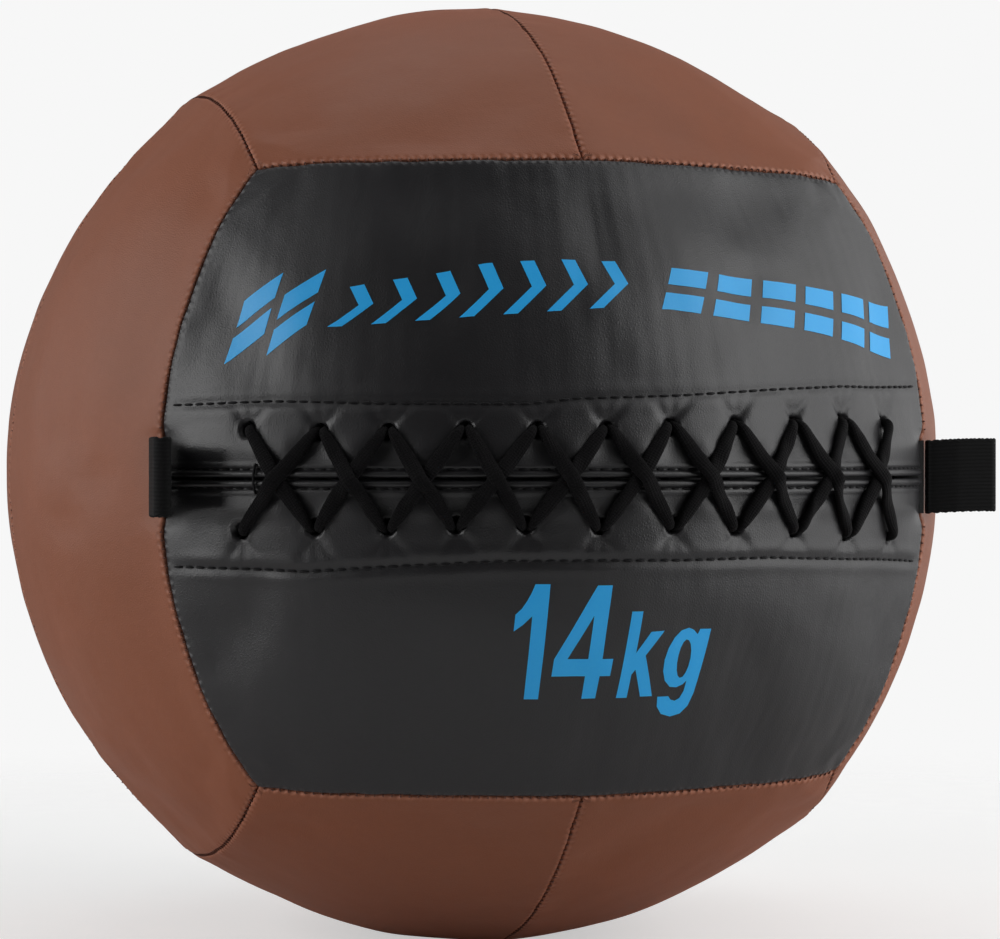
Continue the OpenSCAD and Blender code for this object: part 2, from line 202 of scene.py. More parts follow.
# Leathercloth: knitted backing under a calendered polyurethane skin, so it is satin with a fine pressed grain
# of about 0.9 mm, soft cloudy tone, and a sewn edge with a gather for about every stitch
def leathercloth(name, tones, edge, gloss, sheen):
    material, tree, shader = newMaterial(name, {
        "IOR": 1.5, "Specular IOR Level": gloss["specular"], "Sheen Weight": sheen["weight"],
        "Sheen Roughness": 0.45, "Sheen Tint": linear(sheen["tint"]),
        "Coat Weight": gloss["coat"], "Coat Roughness": gloss["coatRoughness"]})
    coords = addNode(tree, "TexCoord").outputs["Object"]
    lay = addNode(tree, "SeparateXYZ", {"Vector": addNode(tree, "UVMap", uv_map="lay")})
    along, off = lay.outputs["X"], lay.outputs["Y"]
    cloud = addNode(tree, "TexNoise", {
        "Vector": coords, "Scale": leather["cloud"], "Detail": 4.0, "Roughness": 0.55})
    fleck = addNode(tree, "TexNoise", {"Vector": coords, "Scale": leather["fleck"], "Detail": 2.0})
    grain = addNode(tree, "TexVoronoi", {"Vector": coords, "Scale": leather["grain"]},
                    feature="DISTANCE_TO_EDGE")
    ripple = addNode(tree, "TexNoise", {
        "Vector": coords, "Scale": leather["ripple"], "Detail": 3.0, "Roughness": 0.5})
    # The tone clouds softly, is painted lighter along the sewn edge as a painted highlight on the rolled edge,
    # and has fine flecks
    # Share of the painted highlight: full at the seam, none past the edge's width
    edgeHighlight = addNode(tree, "MapRange", {"Value": off, "From Min": 0.2, "From Max": edge["width"],
                                      "To Min": 1.0, "To Max": 0.0})
    tone = addNode(tree, "Mix", {0: cloud, 6: linear(tones[0]), 7: linear(tones[1])}, data_type="RGBA")
    highlightShare = addNode(tree, "Math", {0: edgeHighlight, 1: edge["amount"]}, operation="MULTIPLY")
    highlighted = addNode(tree, "Mix", {0: highlightShare, 6: tone, 7: linear(edge["tone"])}, data_type="RGBA")
    speck = addNode(tree, "MapRange", {"Value": fleck, "From Min": 0.3, "From Max": 0.7,
                                       "To Min": 0.0, "To Max": 0.16})
    coloured = addNode(tree, "Mix", {0: speck, 6: highlighted, 7: linear(tones[2])}, data_type="RGBA")
    rough = addNode(tree, "MapRange", {"Value": cloud, "From Min": 0.3, "From Max": 0.7,
                                       "To Min": gloss["rough"][0], "To Max": gloss["rough"][1]})
    # The gathers fade as they leave the seam
    turn = addNode(tree, "Math", {0: along, 1: 2 * math.pi / leather["gatherPitch"]}, operation="MULTIPLY")
    wave = addNode(tree, "Math", {0: turn}, operation="SINE")
    near = addNode(tree, "MapRange", {"Value": off, "From Min": 0.3, "From Max": leather["gatherReach"],
                                      "To Min": 1.0, "To Max": 0.0}, interpolation_type="SMOOTHSTEP")
    gather = addNode(tree, "Math", {0: wave, 1: near}, operation="MULTIPLY")
    pressed = addNode(tree, "Math", {0: grain, 1: gloss["grain"]}, operation="MULTIPLY")
    soft = addNode(tree, "Math", {0: ripple, 1: gloss["ripple"], 2: pressed}, operation="MULTIPLY_ADD")
    skin = addNode(tree, "Bump", {"Height": soft, "Distance": 0.0004, "Strength": 0.55})
    bump = addNode(tree, "Bump", {"Height": gather, "Distance": 0.00035, "Strength": 0.8, "Normal": skin})
    feed(shader, {"Base Color": coloured, "Roughness": rough, "Normal": bump})
    return material


# Each cloth's edge tone is a painted highlight, a lighter colour painted along its rolled sewn edges
blackCloth = leathercloth(
    "leathercloth_black", ("#1b1a1b", "#232225", "#2b2a2c"),
    {"width": 2.6, "tone": "#3b3436", "amount": 0.5},
    {"specular": 0.56, "coat": 0.16, "coatRoughness": 0.26, "rough": (0.34, 0.44),
     "grain": 0.5, "ripple": 0.8},
    {"weight": 0.03, "tint": "#9a9aa8"})
brownCloth = leathercloth(
    "leathercloth_brown", ("#885137", "#97593e", "#7a462f"),
    {"width": 2.0, "tone": "#bd7c62", "amount": 0.75},
    {"specular": 0.36, "coat": 0.05, "coatRoughness": 0.35, "rough": (0.42, 0.54),
     "grain": 0.5, "ripple": 0.8},
    {"weight": 0.2, "tint": "#d97a58"})


# Sewing thread, twisted bonded polyester: a soft shine across a fine twist
def sewingThread(name, tone):
    material, tree, shader = newMaterial(name, {
        "IOR": 1.53, "Specular IOR Level": 0.2, "Roughness": 0.6, "Sheen Weight": 0.05})
    coords = addNode(tree, "TexCoord").outputs["Object"]
    twist = addNode(tree, "TexWave", {"Vector": coords, "Scale": 320.0, "Distortion": 1.5},
                    bands_direction="DIAGONAL")
    bump = addNode(tree, "Bump", {"Height": twist.outputs["Fac"], "Distance": 0.0001, "Strength": 0.5})
    fuzz = addNode(tree, "TexNoise", {"Vector": coords, "Scale": 600.0})
    lighter = [min(1.0, v * 2.2 + 0.003) for v in linear(tone)[:3]] + [1.0]
    strands = addNode(tree, "Mix", {0: fuzz, 6: linear(tone), 7: lighter}, data_type="RGBA")
    feed(shader, {"Base Color": strands, "Normal": bump})
    return material


# Woven or braided cloth on a piece's own map (mm along, mm across): two crossing sets of threads, each
# pitch mm wide, dull, with the thread crowns painted lighter as a painted highlight and the hollows darker as
# painted shade
def wovenCloth(name, tones, pitch, slant, depth, rough, sheen):
    material, tree, shader = newMaterial(name, {
        "IOR": 1.5, "Specular IOR Level": 0.14, "Roughness": rough,
        "Sheen Weight": sheen, "Sheen Roughness": 0.5})
    lay = addNode(tree, "SeparateXYZ", {"Vector": addNode(tree, "UVMap", uv_map="lay")})
    waves = []
    for sign in (1, -1):
        skew = addNode(tree, "Math", {0: lay.outputs["X"], 1: sign * slant, 2: lay.outputs["Y"]},
                       operation="MULTIPLY_ADD")
        turn = addNode(tree, "Math", {0: skew, 1: math.pi / pitch}, operation="MULTIPLY")
        waves.append(addNode(tree, "Math", {0: turn}, operation="SINE"))
    cross = addNode(tree, "Math", {0: waves[0], 1: waves[1]}, operation="MULTIPLY")
    lift = addNode(tree, "MapRange", {"Value": cross, "From Min": -1.0, "From Max": 1.0})
    coords = addNode(tree, "TexCoord").outputs["Object"]
    fuzz = addNode(tree, "TexNoise", {"Vector": coords, "Scale": 500.0, "Detail": 3.0})
    # The tone follows the weave's height: a painted highlight on the crowns, painted shade in the hollows
    mixed = addNode(tree, "Math", {0: lift, 1: fuzz}, operation="MULTIPLY")
    tone = addNode(tree, "Mix", {0: mixed, 6: linear(tones[0]), 7: linear(tones[1])}, data_type="RGBA")
    bump = addNode(tree, "Bump", {"Height": lift, "Distance": depth * 0.001, "Strength": 0.7})
    feed(shader, {"Base Color": tone, "Normal": bump})
    return material


# A material that reads only its place: mottled between two tones with a bumpy surface of the given size (mm)
def mottled(name, tones, size, depth, rough, metal=0.0, sheen=0.0, cells=False):
    material, tree, shader = newMaterial(name, {
        "IOR": 1.5, "Metallic": metal, "Roughness": rough, "Sheen Weight": sheen})
    coords = addNode(tree, "TexCoord").outputs["Object"]
    spots = addNode(tree, "TexVoronoi" if cells else "TexNoise", {"Vector": coords, "Scale": 1000.0 / size})
    cloud = addNode(tree, "TexNoise", {"Vector": coords, "Scale": 22.0, "Detail": 3.0})
    mixed = addNode(tree, "Math", {0: spots, 1: cloud, 2: 0.2}, operation="MULTIPLY_ADD")
    tone = addNode(tree, "Mix", {0: mixed, 6: linear(tones[0]), 7: linear(tones[1])}, data_type="RGBA")
    bump = addNode(tree, "Bump", {"Height": spots, "Distance": depth * 0.001, "Strength": 0.6})
    feed(shader, {"Base Color": tone, "Normal": bump})
    return material


blackThread = sewingThread("bonded_polyester_thread_black", "#060507")
seamThread = sewingThread("bonded_polyester_thread_umber", "#4a2c22")
laceBraid = wovenCloth("braided_polyester_lace", ("#050405", "#131114"), 0.8, 0.9, 0.3, 0.8, 0.02)
webbingWeave = wovenCloth("woven_nylon_webbing", ("#060606", "#111112"), 1.3, 0.0, 0.3, 0.75, 0.04)
facingTape = mottled("stiff_cotton_facing", ("#26262a", "#37373b"), 1.2, 0.2, 0.8)
tongueCloth = mottled("leathercloth_tongue", ("#121214", "#1a1a1d"), 1.0, 0.1, 0.5)
foamPad = mottled("open_cell_foam", ("#c9c0ad", "#ddd6c6"), 1.6, 0.4, 0.9, cells=True)
linerCloth = mottled("woven_nylon_liner", ("#6f756b", "#868c80"), 0.8, 0.1, 0.6, sheen=0.2)
offcuts = mottled("packed_textile_offcuts", ("#6d635c", "#b3a79c"), 9.0, 1.5, 0.9, sheen=0.3)
canvasCloth = mottled("plain_cotton_canvas", ("#4a4638", "#5d5846"), 1.0, 0.2, 0.85)
cottonCord = mottled("twisted_cotton_cord", ("#cfc6b0", "#e4ddca"), 0.9, 0.2, 0.8)
ironSand = mottled("loose_iron_sand", ("#2f2d2b", "#6b6762"), 0.9, 0.5, 0.55, metal=0.5, cells=True)
laceEnds = mottled("braided_polyester_lace_ends", ("#0a090b", "#1d1c20"), 0.9, 0.25, 0.6, sheen=0.1)
webbingTails = mottled("woven_nylon_webbing_tails", ("#050505", "#0e0e0f"), 1.3, 0.3, 0.6, sheen=0.1)
printInk = mottled("screen_print_ink_blue", ("#1bafff", "#38bdff"), 1.1, 0.03, 0.42)
print("materials made")

# ---- the cover ----

# The rolled edge of a sewn panel: distance from the seam's plane and height over the surface, in mm
sewnEdge = np.array([(0.14, -4.2), (0.14, -2.0), (0.22, -1.1), (0.42, -0.62), (0.75, -0.32), (1.3, -0.13),
                     (2.2, -0.03), (3.6, 0.0)])
# The folded lip of a closure edge, with the groove of its own stitching behind it
lipEdge = np.array([(0.5, -5.0), (0.42, -1.6), (0.42, -0.3), (0.62, 0.45), (1.0, 0.9), (1.5, 1.12), (2.0, 1.05),
                    (2.45, 0.7), (2.75, 0.25), (2.95, -0.1), (3.2, -0.25), (3.5, -0.1), (3.9, 0.25), (4.5, 0.5)])
cover = {
    "columnStep": 1.45,      # mm between columns of points
    "rowStep": 1.6,
    "bandStep": 0.85,        # closer rows where the eyelets are
    "bandWidth": 36.0,
    "frontColumnStep": 0.85,
    "frontDegree": 3.03,     # mm along the front to one degree, for what is punched or printed there
}
eyelets = {
    "bore": 2.3,             # radius of the punched hole
    # angles in degrees and heights in mm of the upper edge's holes (1) and the lower edge's (-1)
    1: ((-40.8, -32.2, -24.6, -16.3, -8.5, -0.8, 6.6, 14.8, 23.4, 31.8, 40.6),
        (16.5, 15.7, 15.7, 16.3, 16.3, 16.4, 17.5, 18.0, 18.6, 19.5, 19.2)),
    -1: ((-41.7, -32.8, -24.7, -17.3, -9.7, -1.6, 6.9, 14.8, 23.4, 32.5, 42.2),
         (-17.5, -16.1, -16.0, -15.3, -15.3, -15.7, -15.5, -16.3, -17.5, -19.2, -20.7)),
}
bandLines = {                # the reinforced bands' topstitch: angle, height
    1: ((-54, 24.4), (-50.5, 24.5), (-38.5, 25.8), (-24.1, 24.8), (-9.5, 24.8), (-4.5, 26.5), (7.9, 27.7),
        (19.9, 29.9), (31.8, 31.6), (51.3, 32.2), (54, 32.2)),
    -1: ((-54, -29.4), (-50.5, -29.5), (-34.2, -30.6), (-24.1, -28.7), (-13.4, -27.1), (0.4, -26.9),
         (8.1, -27.1), (19.9, -26.7), (49.3, -29.9), (54, -30)),
}


# Height of a band's topstitch at angles round the ball
def bandHeight(up, degrees):
    line = np.array(bandLines[up])
    return np.interp(degrees, line[:, 0], line[:, 1])


# Unit directions from an angle along a pair and a latitude across it:
# the latitude leans out of the pair's middle plane, and the angle turns round the across axis
def directions(pair, phi, lat):
    out, across, _ = pairs[pair]
    along = np.cross(across, out)
    return (np.cos(lat) * np.cos(phi))[..., None] * np.array(out) \
        + (np.cos(lat) * np.sin(phi))[..., None] * along + np.sin(lat)[..., None] * np.array(across)


# Angle round the across axis at which a pair's end seam lies, in a row of that latitude
def endAngle(lat):
    return np.arccos(np.clip(seamD / (radius * np.cos(lat)), -1, 1)) - tilt


# Latitude of a pair's outer seam at an angle round it: where its leaning plane meets the ball
def outerLatitude(phi):
    size = np.sqrt(math.cos(tilt) ** 2 + (math.sin(tilt) * np.cos(phi)) ** 2)
    return np.arcsin(seamD / (radius * size)) + np.arctan(math.tan(tilt) * np.cos(phi))


# Low ridge along the outer seams: for each of the three families of leaning planes, a bell over the distance
# to the plane, faded past the cube's corners
def seamRidge(d):
    total = 0
    for i in range(3):
        out, along, third = (np.abs(d[..., (i + k) % 3]) for k in (0, 2, 1))
        lean = np.clip(math.cos(tilt) * out - math.sin(tilt) * along, -1, 1)
        off = radius * (np.arcsin(lean) - math.asin(seamD / radius))
        total = total + np.exp(-(off / 9.0) ** 2) * np.clip((1.15 - third * math.sqrt(3)) / 0.15, 0, 1)
    return np.minimum(total, 1)


# How far the filled cover stands over the plain ball: bumps at the cube's corners, a low ridge on the seams
def stance(d):
    corner = np.abs(d).sum(-1) / math.sqrt(3)
    away = np.degrees(np.arccos(np.clip(corner, -1, 1)))
    return ball["cornerBump"] * np.exp(-(away / ball["cornerSpread"]) ** 2) + ball["seamRidge"] * seamRidge(d)


# Where the webbing loops are sewn in, the cover is drawn in: a bell over the distance round the ball from the
# loop's seam, faded above and below the webbing
def drawnIn(d):
    off = (np.abs(np.arctan2(d[..., 0], -d[..., 1])) - halfSpan) * radius
    fade = 1 / (1 + np.exp((np.abs(d[..., 2]) * radius - 15.5) / 1.2))
    return ball["drawnIn"] * np.exp(-(off / 7.5) ** 2) * fade


# Rows of a panel as (mm from the middle seam, height of the rolled edge there): the edge lists at both sides,
# even steps between
def panelRows(middleEdge, step, bandStep=None, bandWidth=0):
    start, end = middleEdge[-1, 0], panelArc - sewnEdge[-1, 0]
    if bandStep:
        near = np.linspace(start, bandWidth, round((bandWidth - start) / bandStep))[1:]
        inner = np.concatenate([near, np.linspace(bandWidth, end, round((end - bandWidth) / step))[1:-1]])
    else:
        inner = np.linspace(start, end, round((end - start) / step))[1:-1]
    place = np.concatenate([middleEdge[:, 0], inner, panelArc - sewnEdge[::-1, 0]])
    lift = np.concatenate([middleEdge[:, 1], 0 * inner, sewnEdge[::-1, 1]])
    return place, lift


# Columns of a panel as (share of the way to the end seam, mm short of it, height of the rolled edge there)
def panelColumns(step):
    count = round(2 * (radius * halfSpan - sewnEdge[-1, 0]) / step)
    share = np.linspace(-1, 1, count)[1:-1]
    edge = np.ones(len(sewnEdge))
    return (np.concatenate([-edge, share, edge]),
            np.concatenate([sewnEdge[:, 0], 0 * share + sewnEdge[-1, 0], sewnEdge[::-1, 0]]),
            np.concatenate([sewnEdge[:, 1], 0 * share, sewnEdge[::-1, 1]]))


# How much of the outer seam's bow a row takes, by its place: none within the band, all at the seam
def bowShare(place):
    return eased(np.clip((place - cover["bandWidth"]) / (panelArc - 40), 0, 1))


# Angle and latitude of every point of a panel: columns follow the end seams and rows the outer seam,
# found by going round the two rules until they agree
def layOut(place, share, short):
    place, share, short = place[:, None], share[None, :], short[None, :]
    lat = place / radius + 0 * share
    for _ in range(5):
        phi = share * (endAngle(lat) - short / (radius * np.cos(lat)))
        lat = place / radius + (outerLatitude(phi) - cornerLat) * bowShare(place)
    return phi, lat


# Sag of a panel's middle between its seams, as a cover held at its edges takes it:
# half a sine across the panel, flat along it until it nears the ends
def plainSag(u, v):
    return -ball["panelDip"] * np.sin(math.pi * np.clip(v, 0, 1)) ** 0.9 * (1 - np.abs(u) ** 3.2)


# Folds of the front bands, in mm over the cover, and where they lie
folds = {
    "creases": (-1.0, 0.15, 1.2),        # how each eyelet's three creases lean
    "fan": 6.5,                          # how far they have spread at the band's stitches
    "creaseDepth": 0.62, "hollow": 0.7,  # the creases, and the dent round the eyelet
    "puff": 0.85, "puffHeight": 9.5,     # the cloth that stands up between the lace's crossings
    "stitchDepth": 0.55, "roll": 0.3,    # the groove of the topstitch and the rolls beside it
    "degree": 3.05,                      # mm to one degree
    "pullAt": (-45, -10, 15, 30, 45),    # how strong the folds are along each band
    "pull": {1: (0.9, 0.9, 1.4, 1.7, 1.1), -1: (0.8, 0.8, 0.9, 1.0, 0.9)},
}


# From each eyelet a valley fans out to the band's stitches and the cloth between stands up;
# towards the lips it puffs up between the crossings. Every fold is a bell over the distance from its line
def bandFolds(up, degrees, z):
    height = np.abs(z)
    angles, heights = np.array(eyelets[up][0]), np.abs(eyelets[up][1])
    pull = np.interp(degrees, folds["pullAt"], folds["pull"][up])
    line = np.abs(bandHeight(up, degrees))
    total = np.zeros_like(z)
    for k, (a, h) in enumerate(zip(angles, heights)):
        side = (degrees - a) * folds["degree"]
        reach = np.clip((height - h) / np.maximum(line - h, 1), 0, 1)
        for lean in folds["creases"]:
            off = side - lean * folds["fan"] * reach + 0.6 * softNoise(height * 0.25, side * 0 + k, 31 + k)
            deep = np.exp(-(off / (1.5 + 1.2 * reach)) ** 2) * np.exp(-((reach - 0.35) / 0.42) ** 2)
            total -= folds["creaseDepth"] * deep * (height > h - 3)
        total -= folds["hollow"] * np.exp(-((side / 4.2) ** 2 + ((height - h) / 4.0) ** 2))
    middle = np.interp(degrees, (angles[:-1] + angles[1:]) / 2, np.arange(10) + 0.0)
    beat = np.cos(2 * math.pi * (middle - np.round(middle)))
    total += folds["puff"] * beat * np.exp(-((height - folds["puffHeight"]) / 4.0) ** 2)
    stitch = np.exp(-((height - line) / 1.5) ** 2)
    roll = np.exp(-((height - line + 3.4) / 2.2) ** 2) + 0.7 * np.exp(-((height - line - 3.0) / 2.0) ** 2)
    return total * pull - folds["stitchDepth"] * stitch + folds["roll"] * roll


# Which of the face middles stay when one edge's eyelets are punched with a bore in mm, at some mm a degree
def besideEyelets(middle, half, degree, bore):
    turn, z = np.degrees(np.arctan2(middle[:, 0], -middle[:, 1])), middle[:, 2]
    angles, heights = np.array(eyelets[half])
    return (np.hypot((turn[:, None] - angles) * degree, z[:, None] - heights) > bore).all(axis=1)


grids = {}        # each panel's finished points and how they are laid out, for what is sewn or printed on it


# Shapes the grid of one panel: rows of latitude, columns of angle, then stance, sag, folds and rolled edges
def shapePanel(pair, half):
    front = pair == "front"
    place, rowLift = panelRows(lipEdge if front else sewnEdge, cover["rowStep"],
                               cover["bandStep"] if front else None, cover["bandWidth"])
    share, short, columnLift = panelColumns(cover["frontColumnStep" if front else "columnStep"])
    phi, lat = layOut(place, share, short)
    if half < 0:
        phi, lat, rowLift = phi[::-1], -lat[::-1], rowLift[::-1]
    d = directions(pair, phi, lat)
    end, outer = endAngle(lat), outerLatitude(phi)
    rowPart, columnPart = rowLift[:, None] + 0 * phi, columnLift[None, :] + 0 * phi
    lift = np.where(columnPart < 0, np.minimum(rowPart, columnPart), rowPart)
    arc = phi * radius * np.cos(lat)
    fromMiddle = np.abs(lat) * radius
    fromOuter = outer * radius - fromMiddle
    fromEnd = (end - np.abs(phi)) * radius * np.cos(lat)
    nearest = np.minimum(np.minimum(fromMiddle, fromOuter), fromEnd)
    along = np.where(fromEnd < np.minimum(fromMiddle, fromOuter), fromMiddle, arc)
    # Small gathers beside the seams and slow hollows over the whole panel
    seed = 7 + 13 * sorted(pairs).index(pair) + half
    gathers = 0.3 * softNoise(along / 6.5, nearest / 22 + 5, seed) * np.exp(-nearest / 9)
    hollows = 0.55 * softNoise(arc / 34 + 9, fromMiddle / 27, seed + 50) * np.clip(nearest / 18, 0, 1) \
        + 0.16 * softNoise(arc / 11 + 9, fromMiddle / 10, seed + 90) * np.clip(nearest / 10, 0, 1)
    height = stance(d) + gathers + hollows
    if front:
        degrees = np.degrees(phi)
        height = height * np.clip(fromMiddle / 40, 0.25, 1) + bandFolds(half, degrees, radius * np.sin(lat)) \
            * np.clip(fromEnd / 12, 0, 1) * np.clip((fromMiddle - 2.9) / 1.5, 0, 1)
        for a, h in zip(*eyelets[half]):      # the cloth turns in at a punched hole, inside a low rim
            away = np.hypot(np.radians(degrees - a) * radius * np.cos(lat), radius * np.sin(lat) - h)
            height += -3.4 * np.clip((eyelets["bore"] + 0.35 - away) / 0.7, 0, 1) \
                + 0.25 * np.exp(-((away - 3.4) / 0.8) ** 2)
    points = d * (radius + height - drawnIn(d) + lift)[..., None] \
        + sagAt(pair, half, phi / end, np.abs(lat) / outer, d)
    # The floor presses the underside flat
    over = points[..., 2] + centreZ
    points[..., 2] = (over + np.sqrt(over ** 2 + ball["floorBlend"] ** 2)) / 2 - centreZ
    points[..., 2] = np.where(over > 20, over - centreZ, points[..., 2])
    # The lips of the closure are smooth, so their map is kept off the gathered edge of the cloth's finish
    offSeam = nearest + 3.0 * ((fromMiddle <= nearest) & front)
    return points, place, share, np.stack([along + half * 0.7, offSeam], -1)


# ---- cloth simulation of the stretched panels ----
cloth = {
    "rows": 25, "columns": 65,
    "shrink": 0.0032,        # the cloth is cut this share too small, so it pulls flat between its seams
    "pressure": 0.35,        # the filling's push
    "stiffness": 22.0, "bending": 4.0,
    "frames": 20,
    "bandHold": 0.35,        # how firmly the reinforced bands are held
    "cap": 2.3,              # mm that a point may move
}
sags = {}


# All twelve panels, as open grids whose edges are pinned on the ball, are shrunk and blown from inside in one
# Cloth run; each keeps how far its points moved, in mm, by row of v and column of u
def stretchPanels():
    v, u = np.meshgrid(np.linspace(0, 1, cloth["rows"]), np.linspace(-1, 1, cloth["columns"]), indexing="ij")
    starts, faces, holds = [], [], []
    grid = gridFaces(cloth["rows"], cloth["columns"])
    for pair in pairs:
        for half in (-1, 1):
            phi, lat = u * halfSpan, v * cornerLat
            for _ in range(6):
                lat = v * outerLatitude(phi)
                phi = u * endAngle(lat)
            d = directions(pair, phi, half * lat)
            starts.append((d * (radius + stance(d))[..., None]).reshape(-1, 3))
            turned = grid if half > 0 else grid[:, ::-1]
            faces.append(turned + len(faces) * u.size)
            hold = np.where((v < 0.001) | (v > 0.999) | (np.abs(u) > 0.999), 1.0, 0.0)
            if pair == "front":
                hold = np.maximum(hold, np.where(lat * radius < 27, cloth["bandHold"], 0))
            holds.append(hold.ravel())
    starts, faces, holds = np.concatenate(starts), np.concatenate(faces), np.concatenate(holds)
    mesh = bpy.data.meshes.new("cloth_trial")
    mesh.from_pydata((starts * 0.001).tolist(), [], faces.tolist())
    trial = bpy.data.objects.new("cloth_trial", mesh)
    scene.collection.objects.link(trial)
    pins = trial.vertex_groups.new(name="pins")
    for level in np.unique(holds[holds > 0]):
        pins.add(np.flatnonzero(holds == level).tolist(), float(level), "REPLACE")
    run = trial.modifiers.new("cloth", "CLOTH")
    run.settings.quality, run.settings.mass, run.settings.air_damping = 6, 0.25, 5.0
    run.settings.tension_stiffness = run.settings.compression_stiffness = cloth["stiffness"]
    run.settings.shear_stiffness, run.settings.bending_stiffness = cloth["stiffness"] / 2, cloth["bending"]
    run.settings.use_pressure, run.settings.uniform_pressure_force = True, cloth["pressure"]
    run.settings.shrink_min = run.settings.shrink_max = cloth["shrink"]
    run.settings.vertex_group_mass = "pins"
    run.settings.effector_weights.gravity = 0.0
    run.point_cache.frame_start, run.point_cache.frame_end = 1, cloth["frames"]
    for step in range(1, cloth["frames"] + 1):
        scene.frame_set(step)
    settled = trial.evaluated_get(bpy.context.evaluated_depsgraph_get()).data
    ends = np.empty(len(starts) * 3, np.float32)
    settled.vertices.foreach_get("co", ends)
    moved = ends.reshape(-1, 3) * 1000.0 - starts
    far = np.linalg.norm(moved, axis=1, keepdims=True)
    moved *= np.minimum(1, cloth["cap"] / np.maximum(far, 1e-6))
    bpy.data.objects.remove(trial)
    bpy.data.meshes.remove(mesh)
    scene.frame_set(1)
    inward = (moved * starts).sum(1) / radius
    moved = moved.reshape(12, cloth["rows"], cloth["columns"], 3)
    for _ in range(2):       # twice blended with the four neighbours, which takes out the grid's own ripple
        moved[:, 1:-1, 1:-1] = 0.4 * moved[:, 1:-1, 1:-1] + 0.15 * (
            moved[:, :-2, 1:-1] + moved[:, 2:, 1:-1] + moved[:, 1:-1, :-2] + moved[:, 1:-1, 2:])
    for k, pair in enumerate(pairs):
        for side, half in enumerate((-1, 1)):
            sags[pair, half] = moved[2 * k + side]
    return inward.min(), inward.max(), far.max()


moves = stretchPanels()
print("cloth simulated, moved inward, outward, farthest in mm:", [round(float(x), 2) for x in moves])


# The panel's sag as a vector at u, v: from the cloth simulation where it ran, else from plainSag
def sagAt(pair, half, u, v, d):
    found = sags.get((pair, half))
    if found is None:
        return d * plainSag(u, v)[..., None]
    rows, columns = found.shape[:2]
    return gridAt(found, np.clip(v, 0, 1) * (rows - 1), (np.clip(u, -1, 1) + 1) / 2 * (columns - 1))


for pair, (out, across, names) in pairs.items():
    black = pair in ("front", "back")
    for half, name in zip((-1, 1), names):
        points, rowPlace, share, lay = shapePanel(pair, half)
        faces = gridFaces(*points.shape[:2])
        if pair == "front":      # the punched holes are open
            middle = points.reshape(-1, 3)[faces].mean(1)
            faces = faces[besideEyelets(middle, half, cover["frontDegree"], eyelets["bore"] - 0.2)]
        piece = makePiece(name + "_cover", points, faces, blackCloth if black else brownCloth,
                          uv=lay.reshape(-1, 2))
        seat(piece, "ball", "black_cover" if black else "brown_cover", name + "_panel")
        grids[pair, half] = (points, rowPlace, share)
print("cover panels made")


# Points on a finished front panel at angles round it and heights over its middle plane, lifted in mm:
# the rules of layOut are undone to find the row and column, and the four points about it are blended
def onFront(half, degrees, z, lift=0.0):
    points, rowPlace, share = grids["front", half]
    phi, lat = np.radians(degrees), np.abs(np.arcsin(np.clip(np.asarray(z, float) / radius, -1, 1)))
    place = lat * radius
    for _ in range(6):
        place = lat * radius - (outerLatitude(phi) - cornerLat) * radius * bowShare(place)
    row = np.interp(place, rowPlace, np.arange(len(rowPlace)))
    row = np.clip(row if half > 0 else len(rowPlace) - 1 - row, 0, len(rowPlace) - 1.001)
    edge = len(sewnEdge)
    part = phi / (endAngle(lat) - sewnEdge[-1, 0] / (radius * np.cos(lat)))
    column = np.clip(edge - 1 + (part + 1) / 2 * (len(share) - 2 * edge + 1), 0, len(share) - 1.001)
    found = gridAt(points, row, column)
    return found + unit(found) * np.asarray(lift)[..., None]


# ---- stitches ----

# A stitch is a short round bar with drawn-in ends: rings of points along x, in mm, of length and radius 1
ringX = np.array([-0.5, -0.46, -0.3, 0.0, 0.3, 0.46, 0.5])
ringR = np.array([0.05, 0.55, 0.95, 1.0, 0.95, 0.55, 0.05])
ringTurn = np.arange(6) * math.pi / 3
stitchShape = np.stack([np.repeat(ringX, 6), np.outer(ringR, np.cos(ringTurn)).ravel(),
                        np.outer(ringR, np.sin(ringTurn)).ravel()], -1)
stitchFaces = gridFaces(7, 6, wrap=True)[:, ::-1]


# Copies of the stitch at places, each along its own direction and standing on the ball's outward direction
def stitches(name, places, along, length, sizes, material, slot, node):
    along = unit(along)
    side = unit(np.cross(unit(places), along))
    outward = np.cross(along, side)
    x = stitchShape[None, :, 0] * np.broadcast_to(length, len(places))[:, None]
    bow = sizes["arch"] * (1 - (2 * stitchShape[None, :, 0]) ** 2)
    points = places[:, None, :] + x[..., None] * along[:, None, :] \
        + (stitchShape[None, :, 1] * sizes["thick"])[..., None] * side[:, None, :] \
        + (stitchShape[None, :, 2] * sizes["thick"] + bow)[..., None] * outward[:, None, :]
    first = np.arange(len(places))[:, None, None] * len(stitchShape)
    seat(makePiece(name, points, (stitchFaces[None] + first).reshape(-1, 4), material), "ball", slot, node)


# Places of a row of stitches on a front panel, lifted, and the way that the row runs at each
def rowOnFront(half, degrees, heightAt, lift):
    later, earlier = (onFront(half, at, heightAt(at)) for at in (degrees + 0.5, degrees - 0.5))
    return onFront(half, degrees, heightAt(degrees), lift), later - earlier


topstitch = {"pitch": 4.4, "length": 3.5, "thick": 0.42, "arch": 0.25, "lift": 0.05, "uneven": 0.12}
for up, name in ((1, "upper_topstitch"), (-1, "lower_topstitch")):
    turn = np.degrees(np.arange(-0.9, 0.9, topstitch["pitch"] / radius))
    turn = turn[np.abs(turn) < np.degrees(endAngle(np.arcsin(bandHeight(up, turn) / radius))) - 1.3]
    place, ahead = rowOnFront(up, turn, lambda at: bandHeight(up, at), topstitch["lift"])
    length = topstitch["length"] + rng.normal(0, topstitch["uneven"], len(turn))
    stitches(name + "_stitches", place, ahead, length, topstitch, blackThread, "thread", name)

